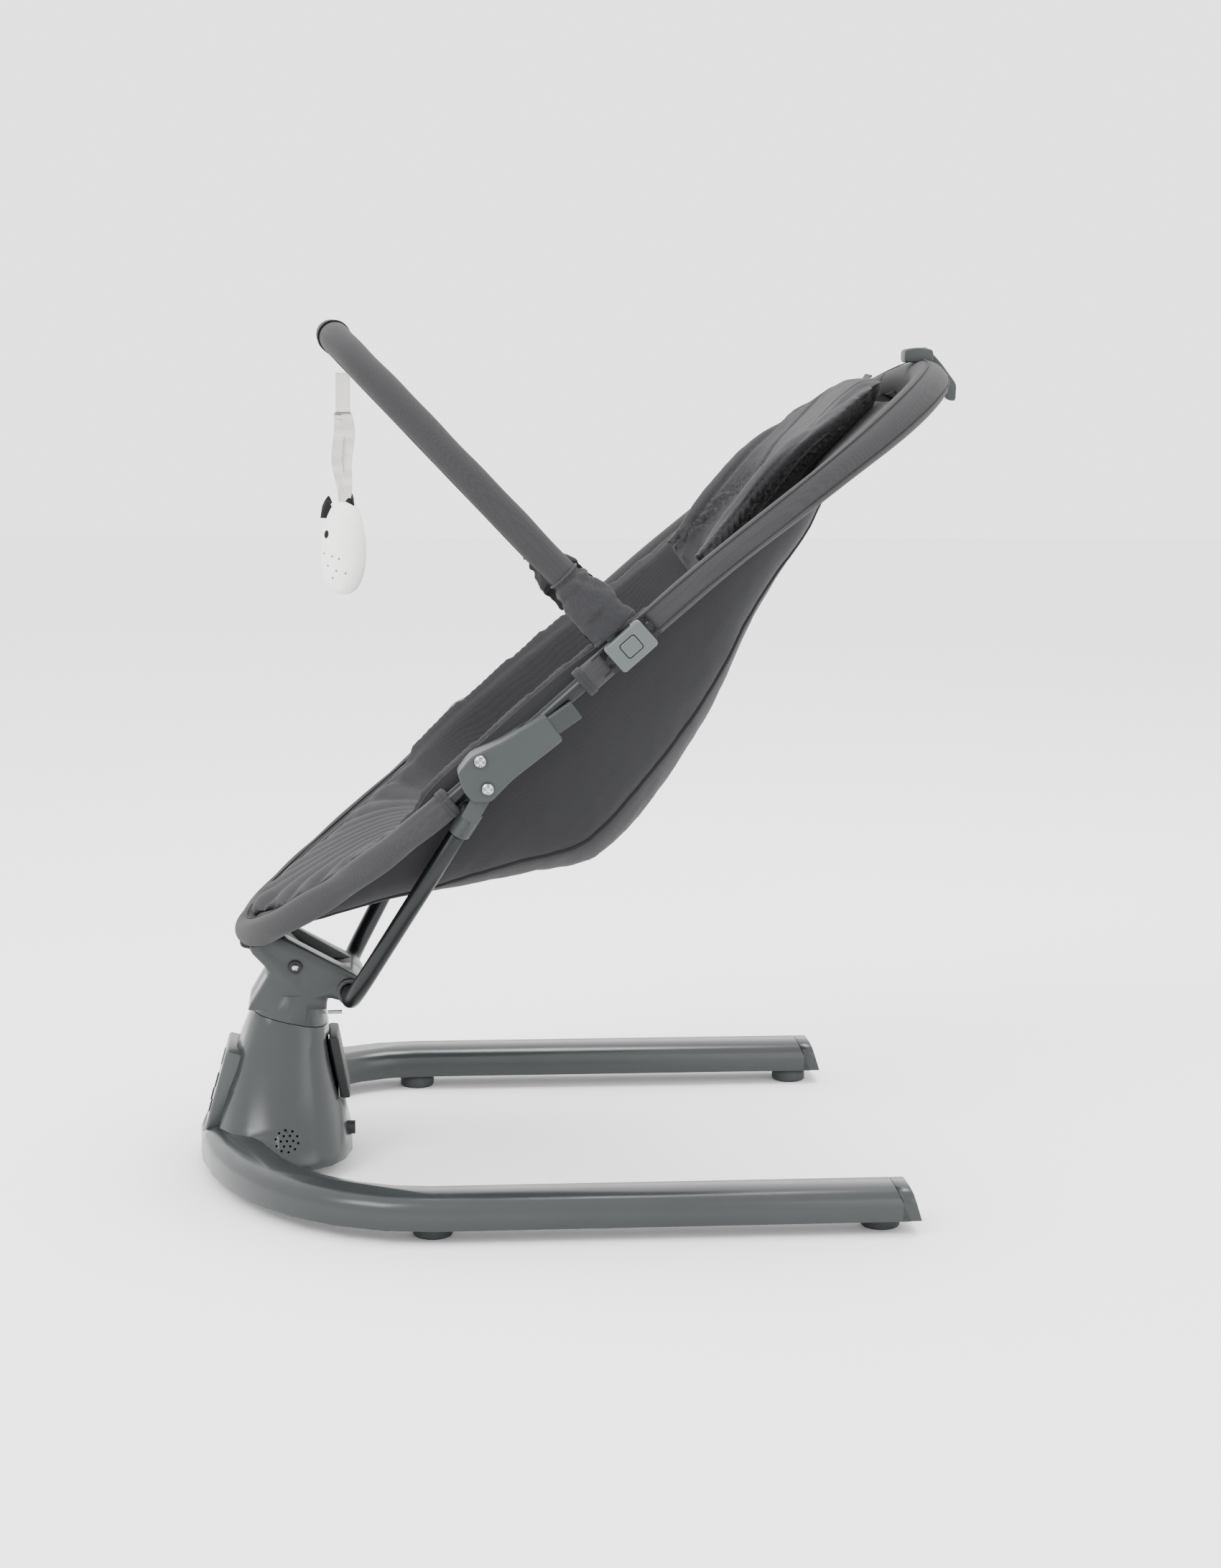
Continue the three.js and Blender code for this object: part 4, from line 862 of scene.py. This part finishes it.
# ---------- leg tube, brackets ----------
TUBE_PIVOT = np.array([0, -0.196, 0.156])
BRACKET_PIVOT = np.array([0, -0.086, 0.352])
LEG_DIR = unit(BRACKET_PIVOT - TUBE_PIVOT)
LEG_REACH = float(np.linalg.norm(BRACKET_PIVOT - TUBE_PIVOT)) / MM
BEND_X, BEND_REACH, SOCKET_X = 100, 38, 171.5


def leg_point(x, reach):
    return TUBE_PIVOT + LEG_DIR * reach * MM + np.array([x * MM, 0, 0])


def arm_point(reach):
    """The straight arm leans outwards from the bend to the bracket."""
    return leg_point(BEND_X + (SOCKET_X - BEND_X) * (reach - BEND_REACH) / (LEG_REACH - BEND_REACH), reach)


def build_leg_tube():
    t = np.linspace(0, 1, 14)[:, None]
    bend = (1 - t)**2 * leg_point(70, 0) + 2 * t * (1 - t) * leg_point(88, 0) + t**2 * arm_point(BEND_REACH)
    near = np.vstack([leg_point(45, 0), leg_point(58, 0), bend, arm_point(100), arm_point(193)])
    line = np.vstack([near[::-1] * [-1, 1, 1], near])
    fit(skin("leg_tube_bent", tube_grid(line, np.cross([1, 0, 0], LEG_DIR), 0.0075, 32), TUBE_GREY),
        "leg", "tube_metal", "leg_tube")


def screw_head(name, centre, sign, body, node):
    """Pan head screw with a cross recess, and its shank."""
    profile = [(2, -29), (2, 0), (5, 0), (5.2, 0.6), (5, 1.4), (4.4, 2.2), (3.4, 2.9), (1.8, 3.2),
               (0.4, 3.3)]
    angle = turns(48)
    grid = []
    for radius, height in np.array(profile) * MM:
        y, z = radius * np.cos(angle), radius * np.sin(angle)
        slot = ((np.abs(y) < 0.0006) | (np.abs(z) < 0.0006)) & (0.002 < height) & (radius < 0.0036)
        x = np.where(slot, height - 0.0014, height)
        grid.append(np.stack([centre[0] + sign * x, centre[1] + y, centre[2] + z], -1))
    piece = skin(name, grid, ZINC)
    piece.data.set_sharp_from_angle(angle=math.radians(45))
    fit(piece, body, "steel", node)


def build_brackets():
    for name, sign in SIDES:
        softened(f"tube_end_{name}", f"tube_socket_{name}", BRACKET_GREY, "bracket_plastic", 0.6)
        softened(f"hinge_bracket_{name}", f"bracket_cheek_{name}", BRACKET_GREY, "bracket_plastic", 1.0,
                 segments=3)
        softened(f"recline_button_{name}", f"recline_release_{name}", BUTTON_GREY, "dark_plastic", 0.6)
        for kind, y, z in (("pivot", -0.086, 0.352), ("clamp", -0.092, 0.374)):
            screw_head(f"{kind}_screw_head_{name}", (sign * 0.1804, y, z), sign, f"bracket_{name}",
                       f"{kind}_screw_{name}")
        softened(f"side_clip_{name}", f"clip_plate_{name}", CLIP_GREY, "clip_plastic", 0.8, segments=3)
        softened(f"clip_button_{name}", f"clip_release_{name}", CLIP_GREY, "clip_plastic", 0.5)


# ---------- toy bar ----------
BAR_UP = np.array([0, -0.695, 0.719])
BAR_NORMAL = np.cross([1, 0, 0], BAR_UP)
BAR_FOOT, BAR_SHOULDER, BAR_TOP, BAR_HALF = 60, 120, 339, 166
COVER_RADIUS, LOOP_RADIUS = 0.0126, 0.0134


def bar_point(x, reach):
    x, reach = np.broadcast_arrays(np.asarray(x, float), np.asarray(reach, float))
    return CLIP + BAR_UP * (reach * MM)[..., None] + np.stack([x * MM, 0 * x, 0 * x], -1)


def bar_line():
    """The bar's middle line, straight up from its foot and over a squarish arch."""
    power = 2 / 2.4
    angle = np.linspace(0, np.pi / 2, 60)
    arch = bar_point(BAR_HALF * np.cos(angle)**power,
                     BAR_SHOULDER + (BAR_TOP - BAR_SHOULDER) * np.sin(angle)**power)
    near = np.vstack([bar_point(BAR_HALF, np.linspace(BAR_FOOT, BAR_SHOULDER - 2, 12)), arch])
    return np.vstack([near, near[:-1][::-1] * [-1, 1, 1]])


def build_toy_bar():
    softened("toy_bar_frame", "toy_bar_core", TUBE_GREY, "tube_metal", 0.5)
    count, sides = 420, 40
    line = resample(bar_line(), count)
    at = np.linspace(0, 1, count)[:, None]
    angle = turns(sides)[None]
    table = np.full((count, sides), COVER_RADIUS)
    end = np.exp(-np.minimum(at, 1 - at) / 0.012)
    table += end * (0.0007 * np.sin(9 * angle + 1) + 0.0005 * np.sin(14 * angle + 2) - 0.0016)
    table += 0.0002 * np.sin(2 * angle + 40 * at) + 0.0002 * np.sin(angle + 90 * at + 1)
    fit(skin("toy_bar_sleeve", tube_grid(line, BAR_NORMAL, table, sides), BAR_CLOTH),
        "toy_bar", "seat_fabric", "toy_bar_cover")
    seam = line + frames_along(line, BAR_NORMAL)[2] * 0.0125
    fit(skin("toy_bar_seam", tube_grid(seam[6:-6], BAR_NORMAL, 0.0005, 8), DARK_CLOTH),
        "toy_bar", "seat_fabric")
    for name, sign in SIDES:
        build_boot(name, sign)


def tuck_in(boot):
    """Flattens the boot's lower end, which lies between the seat's sleeve and the clip's plate."""
    for vertex in boot.data.vertices:
        reach = float((np.array(vertex.co) - CLIP) @ BAR_UP)
        room = 0.030 * min(1.0, max(0.0, (reach - 0.036) / 0.016))
        side = math.copysign(1.0, vertex.co.x)
        vertex.co.x = side * min(0.1796 + room, max(0.1727 - room, abs(vertex.co.x)))
    boot.data.update()


def oval(centre, half_x, half_y, angle):
    """Points round a section of the bar, with half widths in millimetres."""
    return (centre + np.outer(np.cos(angle) * half_x * MM, [1, 0, 0])
            + np.outer(np.sin(angle) * half_y * MM, BAR_NORMAL))


def build_boot(name, sign):
    """Loose cloth boot over the bar's foot, gathered at the top and flared towards the clip."""
    angle = turns(44)
    stations = [(72, 166.5, 10.6, 10.6), (69, 166.5, 13.6, 14.4), (65, 166.6, 14.4, 16),
                (61, 167.2, 12.8, 14.6), (55, 168, 13.4, 18), (46, 169.2, 13, 20.6), (36, 170.4, 12, 21.5),
                (26, 171.2, 11, 21.5), (17, 171.6, 10.3, 21), (15.5, 171.6, 9.6, 20.2)]
    grid = []
    for row, (reach, x, half_x, half_y) in enumerate(stations):
        pull = 1 + 0.05 * np.sin(7 * angle + row) * (row < 5) + 0.035 * np.sin(4 * angle + 0.7 * row)
        grid.append(oval(bar_point(x, reach), half_x * pull, half_y * pull, angle))
    finer = np.stack([resample(column, 46) for column in np.stack(grid, 1)], 1)
    finer[..., 0] *= sign
    piece = skin(f"toy_bar_boot_{name}", finer, DARK_CLOTH)
    move_out(piece, lambda place, _: 0.0026 * folds(place, 0.045, 6) + 0.0011 * folds(place, 0.016, 3))
    tuck_in(piece)
    fit(piece, "toy_bar", "seat_fabric")
    for part, reach, x, half_x, half_y in (("cuff", 75, 166.5, 12.9, 13.1), ("hem", 18, 176.2, 2.2, 20.6)):
        ring = oval(bar_point(x, reach), half_x, half_y, angle) * [sign, 1, 1]
        ring = tube_grid(ring, BAR_UP, 0.0011, 10, closed=True)
        fit(skin(f"toy_bar_{part}_{name}", ring, SEAT_CLOTH, closed=True), "toy_bar", "seat_fabric")


# ---------- toys ----------
TOY_PIVOT = CLIP + BAR_UP * 0.326 - [0, 0, 0.020]
TOY_HALF = np.array([0.0168, 0.0203, 0.0388])
TOY_MIDDLE = TOY_PIVOT[2] - 0.108 - 0.039


def toy_girth(up):
    """Width of the egg-shaped body at an angle down from its top, as a part of its widest."""
    return np.sin(up)**0.82 * (0.88 + 0.12 * (1 - np.cos(up)) / 2)


def build_toys():
    for name, sign in SIDES:
        body = f"hanging_toy_{name}"
        centre = np.array([sign * 0.040, TOY_PIVOT[1], TOY_MIDDLE])
        up = np.linspace(0.01, np.pi - 0.01, 48)
        angle = turns(48)
        wide = toy_girth(up)
        grid = np.stack([np.outer(wide, np.cos(angle)), np.outer(wide, np.sin(angle)),
                         np.repeat(np.cos(up)[:, None], 48, 1)], -1) * TOY_HALF
        grid[..., 1] *= 1 - 0.03 * ridge(grid[..., 0], 0.0012)
        piece = skin(f"toy_body_{name}", grid + centre, PLUSH)
        fit(piece, body, "toy_fabric", f"toy_{name}")
        profile = np.array([(-6, 5.2), (0, 4.8), (4, 3.4), (7.5, 1.6), (9, 0.3)]) * MM
        for ear, offset in (("front", -0.0135), ("back", 0.0045)):
            base = centre + [0, offset, 0.0375 - 36 * offset * offset]
            rings = [base + np.stack([np.cos(angle) * radius * 0.7, np.sin(angle) * radius + height * 0.1,
                                      np.full(48, height)], -1) for height, radius in profile]
            fit(skin(f"toy_ear_{ear}_{name}", rings, EAR_CLOTH), body, "toy_fabric")
        spots = ((-30, -6), (-45, -14), (-20, -18), (-58, -4), (-12, -8), (-34, -24), (5, -20))
        for side, label in ((1, "a"), (-1, "b")):
            felt_mark(f"toy_eye_{name}_{label}", centre, side, (-52, 12), (2.6, 3.6), EAR_CLOTH, body)
            for k, spot in enumerate(spots):
                felt_mark(f"toy_spot_{name}_{label}{k}", centre, side, spot, (0.9, 0.9), FELT_GREY, body)
        build_ribbons(name, centre[0], body)


def felt_mark(name, centre, side, place, size, material, body):
    """Raised felt spot on the toy's side, placed by an angle round the body and a height in millimetres."""
    around, height = math.radians(place[0]), place[1] * MM / TOY_HALF[2]
    wide = toy_girth(math.acos(height))
    spot = np.array([side * math.cos(around) * wide, math.sin(around) * wide, height]) * TOY_HALF
    out = unit(spot / TOY_HALF**2)
    along = unit(np.cross([0, 0, 1], out))
    up = np.linspace(0.02, np.pi - 0.02, 8)
    angle = turns(16)
    grid = np.stack([np.outer(np.sin(up), np.cos(angle)), np.outer(np.sin(up), np.sin(angle)),
                     np.repeat(np.cos(up)[:, None], 16, 1)], -1) * np.array([*size, 0.6]) * MM
    turned = grid @ np.stack([along, np.cross(out, along), out])
    fit(skin(name, turned + centre + spot, material), body, "toy_fabric")


def build_ribbons(name, x, body):
    """Two ribbon tails that carry the toy, sewn across at the top, and the webbing loop round the bar."""
    top = TOY_PIVOT[2]
    for tail, spread in (("front", -0.0045), ("back", 0.0045)):
        z = np.linspace(top - 0.036, TOY_MIDDLE + 0.036, 30)
        f = (z[0] - z) / (z[0] - z[-1])
        y = TOY_PIVOT[1] + spread * np.sin(np.pi * (0.25 + 0.75 * f)) + 0.0012 * np.sin(9 * f)
        line = np.stack([x + 0.0015 * np.sin(7 * f + spread * 300), y, z], -1)
        tape = belt_grid(line, (0, 1, 0), 0.009, 0.0011)
        fit(skin(f"toy_tail_{tail}_{name}", tape, RIBBON), body, "toy_fabric")
    line = np.linspace((x, TOY_PIVOT[1], top - 0.002), (x, TOY_PIVOT[1], top - 0.040), 14)
    fit(skin(f"toy_ribbon_{name}", belt_grid(line, (0, 1, 0), 0.012, 0.0022), RIBBON), body, "toy_fabric")
    seam = belt_grid(line[-3:-1], (0, 1, 0), 0.0126, 0.0028)
    fit(skin(f"toy_ribbon_seam_{name}", seam, FELT_GREY), body, "toy_fabric")
    bar = bar_line()
    near = bar[np.argmin(np.abs(bar[:, 0] - x) + 9 * (bar[:, 2] < 0.6))]
    hang = np.array([0, TOY_PIVOT[1] - near[1], TOY_PIVOT[2] + 0.004 - near[2]])
    loop = []
    for a in turns(60):
        c = np.array([0, math.sin(a), math.cos(a)]) * LOOP_RADIUS
        pull = max(0.0, float(unit(c) @ unit(hang)))**6
        loop.append(near * [0, 1, 1] + [x, 0, 0] + c * (1 - pull) + hang * pull)
    loop = belt_grid(loop, (1, 0, 0), 0.012, 0.0012, closed=True)
    fit(skin(f"toy_loop_{name}", loop, LOOP_WEB, closed=True), "toy_bar", "seat_fabric")


# ---------- base, neck and hidden pieces ----------
def pull_in_toe(cap):
    """Draws the lower edge of a rail's end face in, so the face stands steeper."""
    for vertex in cap.data.vertices:
        if vertex.co.y > 0.2495:
            vertex.co.y -= 0.008 * min(1.0, max(0.0, (0.037 - vertex.co.z) / 0.025))


def build_base():
    softened("base_housing", "base_shell", BASE_GREY, "base_plastic", 1.0, angle=50, smooth_angle=44)
    softened("base_bottom_cover", "base_floor", DARK_PLASTIC, "dark_plastic", 0.3)
    # Painted shade: the rear cover is coloured charcoal to stand for the shadow in its recess down the
    # tower's back.
    softened("tower_rear_cover", "rear_cover_painted_shade", DARK_PLASTIC, "dark_plastic", 0.8)
    softened("control_panel", "panel_face", PANEL_GREY, "panel_plastic", 0.8, segments=3)
    softened("power_inlet", "inlet_socket", DARK_PLASTIC, "dark_plastic", 0.5)
    for key in ("power", "speed", "timer", "music"):
        softened(f"key_{key}", f"push_key_{key}", CLIP_GREY if key == "power" else DARK_PLASTIC,
                 "dark_plastic", 0.6, segments=3)
    for name, _ in SIDES:
        cap = softened(f"rail_end_cap_{name}", f"rail_cap_{name}", BASE_GREY, "base_plastic", 0.8, angle=40)
        pull_in_toe(cap)
        for end in ("front", "rear"):
            softened(f"foot_{end}_{name}", f"pad_{end}_{name}", RUBBER, "rubber", 0.5, angle=25)
        softened(f"neck_shell_{name}", f"neck_half_{name}", NECK_GREY, "base_plastic", 0.8, angle=45)
    softened("seat_foot_hinge", "seat_hinge_block", DARK_PLASTIC, "dark_plastic", 0.8)
    softened("seat_hinge_pin", "hinge_pin", TUBE_GREY, "steel", 0.4)
    profile = [(3.0, 0), (3.0, 1.0), (2.2, 1.7), (0.6, 2.0)]
    for name, sign in SIDES:
        line = [(sign * (0.0430 + rise * MM), -0.2426, 0.1775) for _, rise in profile]
        grid = tube_grid(line, (0, 0, 1), [radius * MM for radius, _ in profile], 24)
        fit(skin(f"hinge_pin_screw_{name}", grid, ZINC), "neck", "steel")
    softened("head_clip", "head_clip_body", BRACKET_GREY, "clip_plastic", 0.5)
    softened("head_clip_lever", "head_clip_arm", BRACKET_GREY, "clip_plastic", 0.5)
    for node, material in (("circuit_board", BOARD), ("speaker", GRIP_BLACK), ("shaft_bearing", ZINC),
                           ("swing_motor", ZINC), ("motor_pinion", DARK_PLASTIC), ("swing_shaft", ZINC),
                           ("drive_gear", DARK_PLASTIC), ("stop_pin", ZINC), ("recline_spring", ZINC)):
        data = frame["nodes"][node].data
        data.materials.clear()
        data.materials.append(material)


# ---------- studio ----------
def build_studio():
    mesh = bpy.data.meshes.new("studio_floor")
    mesh.from_pydata([(-9, -9, 0), (9, -9, 0), (9, 9, 0), (-9, 9, 0)], [], [(0, 1, 2, 3)])
    floor = placed(mesh, "studio_floor")
    paint = Paint("studio_white")
    paint.tint(paint.noise(0.6), (1, 1, 1), 0.9, 0.92)
    paint.set("Roughness", 0.9)
    mesh.materials.append(paint.material)
    world = bpy.data.worlds.new("studio")
    bpy.context.scene.world = world
    world.use_nodes = True
    sky = world.node_tree.nodes["Background"]
    sky.inputs["Color"].default_value = (1, 1, 1, 1)
    sky.inputs["Strength"].default_value = 2.7
    lights = (("key", (2.2, -2.2, 3.0), 1.6, 110), ("top", (-0.6, 0.6, 3.4), 1.2, 95),
              ("fill", (2.6, 2.2, 1.2), 1.6, 18))
    for label, place, size, power in lights:
        light = bpy.data.lights.new(label, "AREA")
        light.size, light.energy = size, power
        lamp = placed(light, label)
        lamp.location = place
        lamp.rotation_euler = (Vector((0, 0, 0.35)) - Vector(place)).to_track_quat("-Z", "Y").to_euler()


for build in (build_ring_tube, build_sleeves, build_pockets, build_bindings, build_shell, build_liner,
              build_headrest, build_harness, build_leg_tube, build_brackets, build_toy_bar, build_toys,
              build_base, build_studio):
    build()
